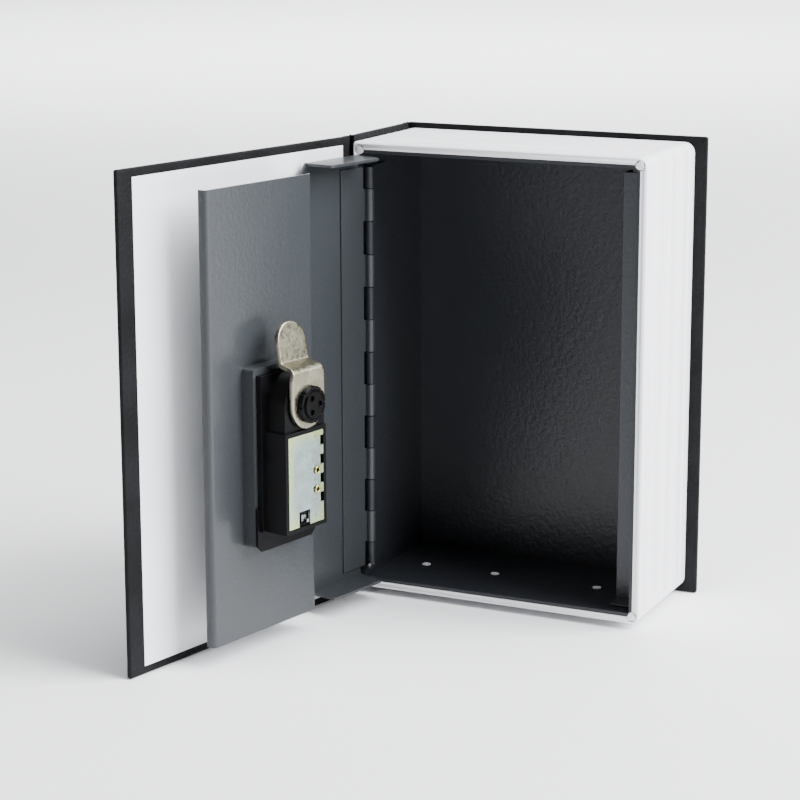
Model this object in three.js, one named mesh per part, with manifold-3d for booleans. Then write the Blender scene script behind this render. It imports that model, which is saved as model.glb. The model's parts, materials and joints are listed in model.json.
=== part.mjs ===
// Book diversion safe: a folded steel cash box set in a hollow book block, closed by a stepped steel door
// on a piano hinge. A four-dial combination lock on the door turns a cam behind a strike channel.
// Millimetres, +Z up. The book stands on its tail, with its cover and its door open as photographed.
import * as THREE from "three";
import { mergeVertices } from "three/addons/utils/BufferGeometryUtils.js";
import Module from "manifold-3d";

const wasm = await Module();
wasm.setup();

// Clearances
const seatGap = 0.1;
const fitGap = 0.2;
const turnGap = 0.3;
const cutOverrun = 1;
const weldTolerance = 1e-5;

// Facets of round forms
const tinySides = 12;
const smallSides = 16;
const roundSides = 20;
const wideSides = 24;
const broadSides = 32;
const arcSteps = 6;
const pageArcSteps = 5;
const bendSteps = 4;
const camBendSteps = 3;
const toothPoints = 4;

// Book case
const coverWidth = 125.5;
const coverHeight = 180;
const boardThickness = 1.9;
const boardCornerRadius = 0.8;
const tailOverhang = 2.2;
const foreEdgeOverhang = 4.7;
const clothThickness = 0.8;
const clothInset = 0.05;
const frontJointWidth = 2.75;
const frontBoardLead = 0.12;
const rearJointWidth = 2.4;
const spineSetback = 2.5;
const endpaperThickness = 0.2;
const endpaperForeMargin = 7;
const endpaperEndMargin = 3;
const endpaperHingeMargin = 4.5;

// Page block
const pageDepth = 53;
const pageRim = 2.8;
const pageCornerRadius = 4;
const pageSpineRadius = 1;
const pageEdgeRound = 1.2;
const pageGrooveShares = [0.083, 0.377, 0.604, 0.868, 0.953];
const pageGrooveDepth = 0.45;
const pageGrooveWidth = 1.1;
const signaturePitch = 6.6;
const signatureDepth = 0.6;
const pageEdgeStations = [0.125, 0.375, 1];
const signatureStations = [-0.25, -0.083, 0, 0.083, 0.25];
const cornerPocketRadius = 2;
const cornerPocketWall = 0.6;
const pegRadius = 1.7;
const pegPlaceShares = [0.139, 0.41, 0.8];
const pegDepthShare = 0.47;
const pegHeadProud = 0.15;

// Steel tray
const sheetThickness = 1.2;
const traySetback = 0.3;
const trayReliefDepth = 3.2;
const trayReliefEndGap = 1;
const trayCornerReliefRadius = 1.5;
const trayCornerReliefHeight = 5.5;
const trayBeadRadius = 1.6;

// Strike channel
const strikeWidth = 10.6;
const strikeSheet = 1;
const strikeHeadroom = 3.4;
const strikeWeldFlange = 8;
const strikeFootLength = 9.3;
const strikeFootSheet = 0.8;

// Piano hinge
const hingeSetback = 2.7;
const knuckleRadius = 1.7;
const knuckleBoreRadius = 0.95;
const pinRadius = 0.75;
const knucklePitch = 12.7;
const knuckleTailLength = 9.5;
const knuckleLeastShare = 0.5;
const knuckleGap = 0.3;
const hingeTailGap = 4.6;
const hingeHeadGap = 5;
const leafThickness = 0.7;
const leafWidth = 16;
const leafNotch = 2.6;

// Door
const openAngleDegrees = 101.6;
const doorSheet = 1;
const doorBendRadius = 0.6;
const doorWallStart = 5;
const doorWallWidth = 45.5;
const doorPanelWidth = 56;
const doorStepHeight = 14.2;
const doorReturnDepth = 3.5;
const doorEndClearance = 0.6;
const doorPanelTrim = 1.2;
const doorCornerRadius = 3;
const doorFlangeDepth = 12.9;
const doorFlangeSetback = 0.6;
const doorFlangeCorner = 3.5;
const doorFlangeLength = 29.8;
const doorFlangeRound = 2;
const doorReliefDepth = 4.2;
const doorReliefRun = 3.2;

// Lock pocket in the door
const pocketSideMargin = 3.15;
const pocketHeadMargin = 2.4;
const pocketRise = 5.5;
const pocketPanelShare = 0.446;
const pocketTailHeight = 34.7;
const pocketCornerRadius = 2;
const pocketCutMargin = 1.1;

// Lock housing
const housingWidth = 22.3;
const housingHeight = 56.8;
const housingTailHeight = 6.4;
const housingBaseThickness = 2.3;
const housingBaseFlange = 1.6;
const housingFootHeight = 6.9;
const housingHeadWall = 2;
const housingSideWall = 1.65;
const housingBossRadius = 10.8;
const housingBossDepth = 10.7;
const tabFreeReach = 14.2;
const tabHingeReach = 18;
const tabHeight = 16.2;
const tabDrop = 7.5;
const tabThickness = 1;
const tabChamfer = 2.4;
const bezelThickness = 5.7;
const bezelFace = 0.9;
const bezelCornerRadius = 1.6;

// Combination dials
const dialCount = 4;
const dialSpacing = 2.2;
const dialProud = 0.6;
const dialBoreRadius = 4;
const dialSerrations = 20;
const dialSerrationDepth = 0.4;
const dialPlateGap = 0.2;
const bayEndGap = 1;
const sleeveRadius = 3.7;
const sleeveBoreRadius = 2.1;
const sleeveSpacing = 0.5;
const sleeveGateWidth = 1.4;
const sleeveGateDepth = 0.9;
const dialShaftRadius = 1.8;
const shaftSeatDepth = 1.4;
const windowMargin = 0.4;

// Back plate, eyelets and change lever
const plateThickness = 0.9;
const plateFrame = 1.4;
const plateNotchDepth = 1.7;
const plateNotchHeight = 3.6;
const plateWindowWidth = 6;
const plateWindowHeight = 5.5;
const eyeletRadius = 1.5;
const eyeletShankRadius = 1;
const eyeletBoreRadius = 0.5;
const eyeletProud = 0.6;
const eyeletEdge = 3.8;
const leverWidth = 2.8;
const leverHeight = 2.4;
const leverDepth = 3.6;
const leverTravel = 2.2;
const leverProud = 0.7;
const leverStubShare = 0.5;

// Detent spring and fence bar
const springThickness = 0.4;
const springWidth = 3.2;
const springAngleDegrees = 135;
const fenceWidth = 1.9;
const fenceDepth = 2;
const fingerThickness = 0.8;
const fingerWidth = 1.6;
const fingerReach = 4.5;
const fenceTravel = 0.8;

// Cam, cap, spindle and knob
const camAxisFromStep = 24.4;
const camThickness = 1.9;
const camWidth = 17.6;
const camReach = 28.7;
const camStepStart = 12.3;
const camStepRun = 1.8;
const camStepDrop = 6.2;
const camTipDrop = 2.6;
const camStrikeGap = 0.5;
const camBlockGap = 0.5;
const camBendRadius = 0.7;
const camTipRadius = 7.6;
const spindleRadius = 3;
const capRadius = 6.7;
const capThickness = 2.5;
const capNotches = 8;
const capNotchDepth = 0.7;
const capRecesses = 3;
const capRecessRadius = 1.25;
const capRecessRing = 3.3;
const capRecessDepth = 1.1;
const capWeb = 0.6;
const knobRadius = 8.4;
const knobBaseThickness = 2.4;
const knobGripWidth = 4.6;
const knobGripRoundShare = 0.33;
const knobHubWall = 1;
const knobBoreWeb = 1;
const knobHeight = 8.8;
const knobRibs = 16;
const knobRibDepth = 0.35;

// Sizes that follow from the driving dimensions
const half = 1 / 2;
const openAngle = THREE.MathUtils.degToRad(openAngleDegrees);
const quarterTurn = Math.PI * half;
const fullTurn = Math.PI + Math.PI;
const pageHeight = coverHeight - tailOverhang - tailOverhang;
const caseOuterX = -(boardThickness + fitGap);
const pageWidth = coverWidth + caseOuterX - foreEdgeOverhang;
const backInnerY = pageDepth + fitGap;
const backOuterY = backInnerY + boardThickness;
const tailZ = -tailOverhang;
const headZ = pageHeight + tailOverhang;

const cornerPocketDepth = pageGrooveShares[0] * pageDepth - pageGrooveWidth * half - cornerPocketWall;

const trayLeft = pageRim + fitGap;
const trayRight = pageWidth - pageRim - fitGap;
const trayTail = pageRim + fitGap;
const trayHead = pageHeight - pageRim - fitGap;
const cavityLeft = trayLeft + sheetThickness;
const cavityRight = trayRight - sheetThickness;
const cavityTail = trayTail + sheetThickness;
const cavityHead = trayHead - sheetThickness;
const cavityBack = pageDepth - sheetThickness;
const trayBeadLength = cornerPocketDepth - traySetback - turnGap;
const pegPlaces = pegPlaceShares.map((share) => cavityLeft + share * (cavityRight - cavityLeft));
const pegDepth = pegDepthShare * pageDepth;

const hingeX = cavityLeft + seatGap + knuckleRadius;
const hingeY = hingeSetback;
const hingeTail = cavityTail + hingeTailGap;
const hingeHead = cavityHead - hingeHeadGap;
const knuckleRun = hingeHead - hingeTail - knuckleTailLength;
const knuckleFullCount = Math.floor(knuckleRun / knucklePitch - knuckleLeastShare);
const knuckleHeadLength = knuckleRun - knuckleFullCount * knucklePitch;

// Door sizes are measured from the hinge axis: s along the closed door, n towards the back of the book.
const doorFrontN = -hingeY;
const doorStepS = doorWallStart + doorWallWidth;
const doorPanelInner = doorFrontN + doorStepHeight + doorSheet;
const doorPanelOuter = doorPanelInner - doorSheet;
const doorFreeS = doorStepS + doorPanelWidth;
const doorTail = cavityTail + doorEndClearance;
const doorHead = cavityHead - doorEndClearance;
const panelTail = doorTail + doorPanelTrim;
const panelHead = doorHead - doorPanelTrim;

const pocketWidth = housingWidth + pocketSideMargin + pocketSideMargin;
const pocketHeight = housingTailHeight + housingHeight + pocketHeadMargin;
const pocketCentre = doorStepS + doorPanelWidth * pocketPanelShare;
const pocketTail = doorTail + pocketTailHeight;
const pocketHead = pocketTail + pocketHeight;
const pocketInner = doorPanelInner + pocketRise;
const pocketFloor = pocketInner - doorSheet;

const housingCentre = pocketCentre + seatGap;
const housingTail = pocketTail + housingTailHeight;
const housingSeat = pocketInner + fitGap;
const camS = doorStepS + camAxisFromStep;
const camZ = housingTail + housingHeight - housingBossRadius;
const blockHead = camZ - camWidth * half - camBlockGap;
const leverTail = housingTail + plateFrame + plateFrame;

const bayTail = housingTail + housingFootHeight;
const bayHead = blockHead - housingHeadWall;
const dialPitch = (bayHead - bayTail - bayEndGap - bayEndGap + dialSpacing) / dialCount;
const dialThickness = dialPitch - dialSpacing;
const dialRadius = housingWidth * half - housingSideWall - turnGap;
const firstDialZ = bayTail + bayEndGap + dialThickness * half;
const dialZ = Array.from({ length: dialCount }, (_, i) => firstDialZ + i * dialPitch);
const bezelBackN = pocketFloor - fitGap;
const bezelFaceN = bezelBackN - bezelThickness;
const dialAxisN = bezelFaceN - dialProud + dialRadius;
const plateSeatN = dialAxisN + dialRadius + dialPlateGap;
const plateFaceN = plateSeatN + plateThickness;
const housingBack = plateFaceN;
const dialBay = dialRadius + dialRadius + turnGap + turnGap;
const sleeveLength = dialPitch - sleeveSpacing;
const dialChord = Math.sqrt(dialRadius ** 2 - (dialRadius - dialProud - bezelFace) ** 2);
const windowWidth = dialChord + dialChord + turnGap + turnGap;
const windowHeight = dialThickness + windowMargin + windowMargin;

const camSeat = housingSeat + housingBossDepth;
const camInner = camSeat + turnGap;
const camOuter = camInner + camThickness;
const capSeat = camOuter + fitGap;
const capBoreEnd = capSeat + capThickness - capRecessDepth - capWeb;
const knobSeat = bezelFaceN - turnGap;
const knobHubEnd = knobSeat - knobHeight * half;
const knobBoreEnd = knobHubEnd + knobBoreWeb;
const spindleBore = spindleRadius + turnGap;

const strikeFront = hingeY + doorPanelInner + turnGap;
const strikeInner = cavityRight - seatGap - strikeWidth;
const strikeOuter = cavityRight - seatGap;
const camStepEnd = camStepStart + camStepRun;
const camSlope = camTipDrop / (camReach - camStepEnd);
const webReach = strikeInner + strikeSheet - hingeX - camS;
const strikeBack = hingeY + camInner - camStepDrop - camSlope * (webReach - camStepEnd) - camStrikeGap;
const camTipInner = camInner - camStepDrop - camTipDrop;

// The cover turns about the fold between its board and the joint strip.
const foldX = caseOuterX + boardThickness * half;
const foldY = -(endpaperThickness + seatGap + fitGap + boardThickness * half);
const jointFrontY = spineSetback - seatGap - frontJointWidth;

// Finishes
function paint(color, roughness, metalness = 0) {
  return new THREE.MeshStandardMaterial({ color, roughness, metalness });
}

const clothFinish = paint(0x38383a, 0.75);
const paperFinish = paint(0xe4e6ea, 0.8);
const pageFinish = paint(0xf2f2f6, 0.45);
const steelPaint = paint(0x33353a, 0.42);
const doorPaint = paint(0x6b7076, 0.4);
const blackPlastic = paint(0x0e0f11, 0.4);
const zincFinish = paint(0xb9bcab, 0.35, 0.9);
const steelFinish = paint(0x9a9c9e, 0.3, 1);
const brassFinish = paint(0xb59a56, 0.35, 1);

// A closed geometry as a solid that can be cut and joined.
function solid(geometry) {
  const plain = geometry.clone();
  plain.deleteAttribute("normal");
  plain.deleteAttribute("uv");
  const merged = mergeVertices(plain, weldTolerance);
  const mesh = new wasm.Mesh({
    numProp: 3,
    vertProperties: new Float32Array(merged.attributes.position.array),
    triVerts: new Uint32Array(merged.index.array),
  });
  return new wasm.Manifold(mesh);
}

// A solid as a geometry with flat-shaded normals.
function geometryOf(body) {
  const mesh = body.getMesh();
  const geometry = new THREE.BufferGeometry();
  geometry.setAttribute("position", new THREE.BufferAttribute(mesh.vertProperties, 3));
  geometry.setIndex(new THREE.BufferAttribute(mesh.triVerts, 1));
  geometry.computeVertexNormals();
  return geometry;
}

const join = (...bodies) => bodies.reduce((whole, body) => whole.add(body));
const cut = (body, ...tools) => tools.reduce((rest, tool) => rest.subtract(tool), body);

// A block between two values on each axis.
function block(x0, x1, y0, y1, z0, z1) {
  const geometry = new THREE.BoxGeometry(x1 - x0, y1 - y0, z1 - z0);
  geometry.translate((x0 + x1) * half, (y0 + y1) * half, (z0 + z1) * half);
  return solid(geometry);
}

// A rod along Z, or along Y when turned.
function rodZ(x, y, z0, z1, radius, sides = wideSides) {
  const geometry = new THREE.CylinderGeometry(radius, radius, z1 - z0, sides);
  geometry.rotateX(quarterTurn);
  geometry.translate(x, y, (z0 + z1) * half);
  return solid(geometry);
}

function rodY(x, z, y0, y1, radius, sides = wideSides) {
  const geometry = new THREE.CylinderGeometry(radius, radius, y1 - y0, sides);
  geometry.translate(x, (y0 + y1) * half, z);
  return solid(geometry);
}

// A flat outline in X and Y carried up Z.
function risen(shape, z0, z1) {
  const settings = { depth: z1 - z0, bevelEnabled: false, curveSegments: arcSteps };
  const geometry = new THREE.ExtrudeGeometry(shape, settings);
  geometry.translate(0, 0, z0);
  return solid(geometry);
}

// A flat outline in X and Z carried along Y.
function plated(shape, y0, y1) {
  const settings = { depth: y1 - y0, bevelEnabled: false, curveSegments: arcSteps };
  const geometry = new THREE.ExtrudeGeometry(shape, settings);
  geometry.rotateX(quarterTurn);
  geometry.translate(0, y1, 0);
  return solid(geometry);
}

// A rectangle with its four corners rounded.
function roundedRectangle(x0, x1, y0, y1, radius) {
  const shape = new THREE.Shape();
  shape.moveTo(x0 + radius, y0);
  shape.lineTo(x1 - radius, y0);
  shape.absarc(x1 - radius, y0 + radius, radius, -quarterTurn, 0);
  shape.lineTo(x1, y1 - radius);
  shape.absarc(x1 - radius, y1 - radius, radius, 0, quarterTurn);
  shape.lineTo(x0 + radius, y1);
  shape.absarc(x0 + radius, y1 - radius, radius, quarterTurn, Math.PI);
  shape.lineTo(x0, y0 + radius);
  shape.absarc(x0 + radius, y0 + radius, radius, Math.PI, Math.PI + quarterTurn);
  return shape;
}

// A round outline whose radius alternates between crest and root.
function toothedOutline(x, y, crest, root, teeth) {
  const steps = teeth * toothPoints;
  const points = Array.from({ length: steps }, (_, i) => {
    const angle = (fullTurn * i) / steps;
    const radius = i % toothPoints < toothPoints * half ? crest : root;
    return new THREE.Vector2(x + radius * Math.cos(angle), y + radius * Math.sin(angle));
  });
  return new THREE.Shape(points);
}

// The cross-section of a folded sheet: its centre line is rounded at each bend, then offset to both sides.
function foldedSection(points, thickness, bendRadius, steps = bendSteps) {
  const centre = bendRadius + thickness * half;
  const line = [];
  points.forEach((point, i) => {
    if (i === 0 || i === points.length - 1) {
      const other = i === 0 ? points[1] : points[i - 1];
      const along = i === 0 ? other.clone().sub(point) : point.clone().sub(other);
      line.push({ at: point, along: along.normalize() });
      return;
    }
    const into = point.clone().sub(points[i - 1]).normalize();
    const out = points[i + 1].clone().sub(point).normalize();
    const turn = Math.atan2(into.cross(out), into.dot(out));
    const side = Math.sign(turn);
    const setback = centre * Math.tan(Math.abs(turn) * half);
    const start = point.clone().addScaledVector(into, -setback);
    const middle = start.clone().add(new THREE.Vector2(-into.y, into.x).multiplyScalar(side * centre));
    for (let k = 0; k <= steps; k += 1) {
      const angle = (turn * k) / steps;
      const at = start.clone().rotateAround(middle, angle);
      line.push({ at, along: into.clone().rotateAround(new THREE.Vector2(), angle) });
    }
  });
  const offset = ({ at, along }, side) => {
    const across = new THREE.Vector2(-along.y, along.x);
    return at.clone().addScaledVector(across, side * thickness * half);
  };
  const right = line.map((entry) => offset(entry, -1));
  const left = line.map((entry) => offset(entry, 1)).reverse();
  return new THREE.Shape([...right, ...left]);
}

// A named mesh of the group it is added to.
function piece(group, name, body, material) {
  const mesh = new THREE.Mesh(geometryOf(body), material);
  mesh.name = name;
  group.add(mesh);
}

// Back board, spine board and the cloth strip in the rear groove.
function makeCase(group) {
  const cloth0 = caseOuterX + turnGap;
  const back = roundedRectangle(caseOuterX, caseOuterX + coverWidth, tailZ, headZ, boardCornerRadius);
  piece(group, "back_cover", plated(back, backInnerY, backOuterY), clothFinish);
  const spineBack = backInnerY - seatGap - rearJointWidth;
  const spine = block(caseOuterX, -fitGap, spineSetback, spineBack, tailZ, headZ);
  piece(group, "spine_board", spine, clothFinish);
  const clothBack = backInnerY - seatGap;
  const strip = block(cloth0, cloth0 + clothThickness, spineBack + seatGap, clothBack, tailZ, headZ);
  piece(group, "rear_joint_strip", strip, clothFinish);
}

// How far the block's page edges lie inside its outline at a depth: a rounded front edge, then grooves.
function pageInset(y) {
  if (y < pageEdgeRound) {
    return pageEdgeRound - Math.sqrt(pageEdgeRound ** 2 - (pageEdgeRound - y) ** 2);
  }
  const nearest = Math.min(...pageGrooveShares.map((share) => Math.abs(y - share * pageDepth)));
  return pageGrooveDepth * Math.max(0, 1 - nearest / (pageGrooveWidth * half));
}

// How far the block's spine side lies inside its outline: a row of rounded signatures.
function signatureInset(y) {
  const wave = Math.abs(Math.sin((Math.PI * y) / signaturePitch));
  const front = y < pageEdgeRound ? pageInset(y) : 0;
  return Math.max(front, signatureDepth * (1 - Math.sqrt(wave)));
}

// The outline of the block at a depth, as points that match from one depth to the next.
function pageLoop(y) {
  const inset = pageInset(y);
  const left = signatureInset(y);
  const corners = [
    [pageWidth - inset, inset, pageCornerRadius, -quarterTurn],
    [pageWidth - inset, pageHeight - inset, pageCornerRadius, 0],
    [left, pageHeight - inset, pageSpineRadius, quarterTurn],
    [left, inset, pageSpineRadius, Math.PI],
  ];
  return corners.flatMap(([x, z, radius, from]) => {
    const towardX = x > pageWidth * half ? -radius : radius;
    const towardZ = z > pageHeight * half ? -radius : radius;
    return Array.from({ length: pageArcSteps + 1 }, (_, k) => {
      const angle = from + (quarterTurn * k) / pageArcSteps;
      const along = x + towardX + radius * Math.cos(angle);
      return new THREE.Vector2(along, z + towardZ + radius * Math.sin(angle));
    });
  });
}

// The depths at which the block's outline changes.
function pageStations() {
  const stations = new Set([0, pageDepth]);
  pageEdgeStations.forEach((share) => stations.add(share * pageEdgeRound));
  pageGrooveShares.forEach((share) => {
    [-half, 0, half].forEach((side) => stations.add(share * pageDepth + side * pageGrooveWidth));
  });
  for (let y = signaturePitch; y < pageDepth; y += signaturePitch) {
    signatureStations.forEach((share) => stations.add(y + share * signaturePitch));
  }
  return [...stations].filter((y) => y >= 0 && y <= pageDepth).sort((a, b) => a - b);
}

// The hollow page block: outlines joined from depth to depth, capped front and back round the cavity.
function makePageBlock(group) {
  const stations = pageStations();
  const loops = stations.map(pageLoop);
  const hole = [
    [pageRim, pageRim],
    [pageRim, pageHeight - pageRim],
    [pageWidth - pageRim, pageHeight - pageRim],
    [pageWidth - pageRim, pageRim],
  ].map(([x, z]) => new THREE.Vector2(x, z));
  const count = loops[0].length;
  const positions = [];
  stations.forEach((y, j) => loops[j].forEach((p) => positions.push(p.x, y, p.y)));
  const holeFront = stations.length * count;
  [0, pageDepth].forEach((y) => hole.forEach((p) => positions.push(p.x, y, p.y)));
  const faces = [];
  for (let j = 0; j + 1 < stations.length; j += 1) {
    for (let i = 0; i < count; i += 1) {
      const a = j * count + i;
      const b = j * count + ((i + 1) % count);
      faces.push(a, a + count, b, b, a + count, b + count);
    }
  }
  hole.forEach((_, i) => {
    const a = holeFront + i;
    const b = holeFront + ((i + 1) % hole.length);
    faces.push(a, a + hole.length, b, b, a + hole.length, b + hole.length);
  });
  [0, stations.length - 1].forEach((j, end) => {
    const place = (k) => (k < count ? j * count + k : holeFront + end * hole.length + (k - count));
    THREE.ShapeUtils.triangulateShape(loops[j], [hole]).forEach(([a, b, c]) => {
      faces.push(place(a), ...(end === 0 ? [place(b), place(c)] : [place(c), place(b)]));
    });
  });
  const geometry = new THREE.BufferGeometry();
  geometry.setAttribute("position", new THREE.Float32BufferAttribute(positions, 3));
  geometry.setIndex(faces);
  const pockets = [trayLeft, trayRight].flatMap((x) =>
    [trayTail, trayHead].map((z) =>
      rodY(x, z, -cutOverrun, cornerPocketDepth, cornerPocketRadius, smallSides),
    ),
  );
  const lip = fitGap + sheetThickness + pegHeadProud;
  const pegs = pegPlaces.flatMap((x) => [
    rodZ(x, pegDepth, pageRim * half, pageRim + lip, pegRadius, smallSides),
    rodZ(x, pegDepth, pageHeight - pageRim - lip, pageHeight - pageRim * half, pegRadius, smallSides),
  ]);
  piece(group, "page_block", join(cut(solid(geometry), ...pockets), ...pegs), pageFinish);
}

// The steel tray: five walls of one sheet, open corner reliefs, peg holes, and a relief along the hinge.
function makeTray(group) {
  const outer = block(trayLeft, trayRight, traySetback, pageDepth, trayTail, trayHead);
  const cavity = block(cavityLeft, cavityRight, -cutOverrun, cavityBack, cavityTail, cavityHead);
  const hingeRelief = block(
    trayLeft - cutOverrun,
    cavityLeft + cutOverrun,
    -cutOverrun,
    trayReliefDepth,
    hingeTail - trayReliefEndGap,
    hingeHead + trayReliefEndGap,
  );
  const pegHoles = pegPlaces.map((x) =>
    rodZ(x, pegDepth, trayTail - cutOverrun, trayHead + cutOverrun, pegRadius + turnGap, smallSides),
  );
  const cornerReliefs = [cavityLeft, cavityRight].flatMap((x) => [
    rodZ(x, cavityBack, cavityTail, cavityTail + trayCornerReliefHeight, trayCornerReliefRadius, tinySides),
    rodZ(x, cavityBack, cavityHead - trayCornerReliefHeight, cavityHead, trayCornerReliefRadius, tinySides),
  ]);
  const beads = [trayLeft, trayRight].flatMap((x) =>
    [trayTail, trayHead].map((z) =>
      rodY(x, z, traySetback, traySetback + trayBeadLength, trayBeadRadius, tinySides),
    ),
  );
  const shell = join(outer, ...beads);
  piece(group, "steel_tray", cut(shell, cavity, hingeRelief, ...pegHoles, ...cornerReliefs), steelPaint);
}

// The strike: a channel welded to the fore-edge wall, with a foot on the floor, that the cam turns behind.
function makeStrike(group) {
  const tail = cavityTail + seatGap;
  const head = cavityHead - strikeHeadroom;
  const face = block(strikeInner, strikeOuter, strikeFront, strikeFront + strikeSheet, tail, head);
  const web = block(strikeInner, strikeInner + strikeSheet, strikeFront, strikeBack, tail, head);
  const weldBack = strikeFront + strikeWeldFlange;
  const weld = block(strikeOuter - strikeSheet, strikeOuter, strikeFront, weldBack, tail, head);
  const footStart = strikeInner + strikeSheet;
  const footFront = strikeFront - strikeFootLength;
  const footBack = strikeFront + strikeSheet;
  const foot = block(footStart, strikeOuter, footFront, footBack, tail, tail + strikeFootSheet);
  piece(group, "strike_channel", join(face, web, weld, foot), steelPaint);
}

// The heights between which each knuckle lies, from tail to head.
function knuckleSpans() {
  const spans = [];
  let from = hingeTail;
  for (let i = 0; i < knuckleFullCount + 2; i += 1) {
    const short = i === 0 ? knuckleTailLength : knuckleHeadLength;
    const to = from + (i === 0 || i > knuckleFullCount ? short : knucklePitch);
    spans.push([from, to - knuckleGap]);
    from = to;
  }
  return spans;
}

// One hinge leaf: a strip tangent to the barrel, its knuckles, and notches for the other leaf's knuckles.
// The leaf runs along +X from the barrel, with its outer face towards -Y.
function hingeLeaf(own) {
  const spans = knuckleSpans();
  const outerFace = -knuckleRadius;
  const head = hingeHead - knuckleGap;
  const strip = block(0, leafWidth, outerFace, outerFace + leafThickness, hingeTail, head);
  const isOwn = (i) => i % 2 === own;
  const knuckles = spans
    .filter((_, i) => isOwn(i))
    .map(([z0, z1]) => rodZ(0, 0, z0, z1, knuckleRadius, roundSides));
  const notches = spans
    .filter((_, i) => !isOwn(i))
    .map(([z0, z1]) =>
      block(-leafNotch, leafNotch, -leafNotch, leafNotch, z0 - knuckleGap, z1 + knuckleGap),
    );
  const bore = rodZ(0, 0, hingeTail - cutOverrun, hingeHead + cutOverrun, knuckleBoreRadius, roundSides);
  return cut(join(cut(strip, ...notches), ...knuckles), bore);
}

// The tray's hinge leaf, turned to run back along the spine-side wall, and the hinge pin.
function makeHinge(group) {
  const leaf = hingeLeaf(0).mirror([0, 1, 0]).rotate([0, 0, 90]).translate([hingeX, hingeY, 0]);
  piece(group, "tray_hinge_leaf", leaf, steelPaint);
  const pin = rodZ(hingeX, hingeY, hingeTail, hingeHead - knuckleGap, pinRadius, roundSides);
  piece(group, "hinge_pin", pin, steelFinish);
}

// The door sheet in plan: front wall, step, lock panel and the return along the free edge.
function doorSection() {
  const wallLine = doorFrontN + doorSheet * half;
  const stepLine = doorStepS - doorSheet * half;
  const panelLine = doorPanelInner - doorSheet * half;
  const freeLine = doorFreeS - doorSheet * half;
  const points = [
    [doorWallStart, wallLine],
    [stepLine, wallLine],
    [stepLine, panelLine],
    [freeLine, panelLine],
    [freeLine, doorPanelInner - doorReturnDepth],
  ].map(([s, n]) => new THREE.Vector2(s, n));
  return foldedSection(points, doorSheet, doorBendRadius);
}

// A flange along the front wall's head or tail, with its hinge-side corner cut away.
function doorFlange(z0, z1) {
  const start = doorWallStart + doorFlangeSetback;
  const end = start + doorFlangeLength;
  const tip = doorFrontN + doorFlangeDepth;
  const outline = new THREE.Shape();
  outline.moveTo(start, doorFrontN);
  outline.lineTo(end, doorFrontN);
  outline.lineTo(end, tip - doorFlangeRound);
  outline.quadraticCurveTo(end, tip, end - doorFlangeRound, tip);
  outline.lineTo(start + doorFlangeCorner * half, tip);
  outline.lineTo(start, tip - doorFlangeCorner);
  outline.closePath();
  return risen(outline, z0, z1);
}

// The corner cut from the front wall and the step past a flange. Towards is 1 at the head, -1 at the tail.
function doorRelief(edge, towards) {
  const flangeEnd = doorWallStart + doorFlangeSetback + doorFlangeLength;
  const past = doorStepS + cutOverrun;
  const over = edge + towards * cutOverrun;
  const floor = edge - towards * doorReliefDepth;
  const points = [
    [flangeEnd, over],
    [flangeEnd, edge],
    [flangeEnd + doorReliefRun, floor],
    [past, floor],
    [past, over],
  ].map(([s, z]) => new THREE.Vector2(s, z));
  const ordered = towards > 0 ? points : points.reverse();
  return plated(new THREE.Shape(ordered), doorFrontN - cutOverrun, doorPanelOuter - doorBendRadius);
}

// What a rounded corner takes off the lock panel, where the panel meets the step at the tail.
function doorCorner() {
  const s = doorStepS - doorSheet;
  const corner = new THREE.Shape();
  corner.moveTo(s - cutOverrun, panelTail - cutOverrun);
  corner.lineTo(s + doorCornerRadius, panelTail - cutOverrun);
  corner.lineTo(s + doorCornerRadius, panelTail);
  corner.quadraticCurveTo(s, panelTail, s, panelTail + doorCornerRadius);
  corner.lineTo(s - cutOverrun, panelTail + doorCornerRadius);
  corner.closePath();
  return plated(corner, doorPanelOuter - doorBendRadius - cutOverrun, doorPanelInner + cutOverrun);
}

// The stepped door with its flanges and its lock pocket.
function makeDoorPanel(group) {
  const sheet = risen(doorSection(), doorTail, doorHead);
  const past = doorFreeS + cutOverrun;
  const stepFace = doorStepS - doorSheet - doorBendRadius;
  const over = doorPanelInner + cutOverrun;
  const below = block(stepFace, past, doorFrontN, over, doorTail - cutOverrun, panelTail);
  const above = block(stepFace, past, doorFrontN, over, panelHead, doorHead + cutOverrun);
  const flanges = join(
    doorFlange(doorTail, doorTail + doorSheet),
    doorFlange(doorHead - doorSheet, doorHead),
  );
  const left = pocketCentre - pocketWidth * half;
  const right = pocketCentre + pocketWidth * half;
  const pocket = plated(
    roundedRectangle(left, right, pocketTail, pocketHead, pocketCornerRadius),
    doorPanelOuter,
    pocketInner,
  );
  const hollow = plated(
    roundedRectangle(
      left + doorSheet,
      right - doorSheet,
      pocketTail + doorSheet,
      pocketHead - doorSheet,
      pocketCornerRadius - doorSheet,
    ),
    doorPanelOuter - cutOverrun,
    pocketFloor,
  );
  const opening = block(
    housingCentre - housingWidth * half + pocketCutMargin,
    housingCentre + housingWidth * half - pocketCutMargin,
    pocketFloor - cutOverrun,
    pocketInner + cutOverrun,
    housingTail + pocketCutMargin,
    housingTail + housingHeight - pocketCutMargin,
  );
  const reliefs = [doorRelief(doorTail, -1), doorRelief(doorHead, 1)];
  const trimmed = cut(sheet, below, above, ...reliefs, doorCorner());
  const body = cut(join(trimmed, flanges, pocket), hollow, opening);
  piece(group, "door_panel", body, doorPaint);
  piece(group, "door_hinge_leaf", hingeLeaf(1), doorPaint);
}

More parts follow.
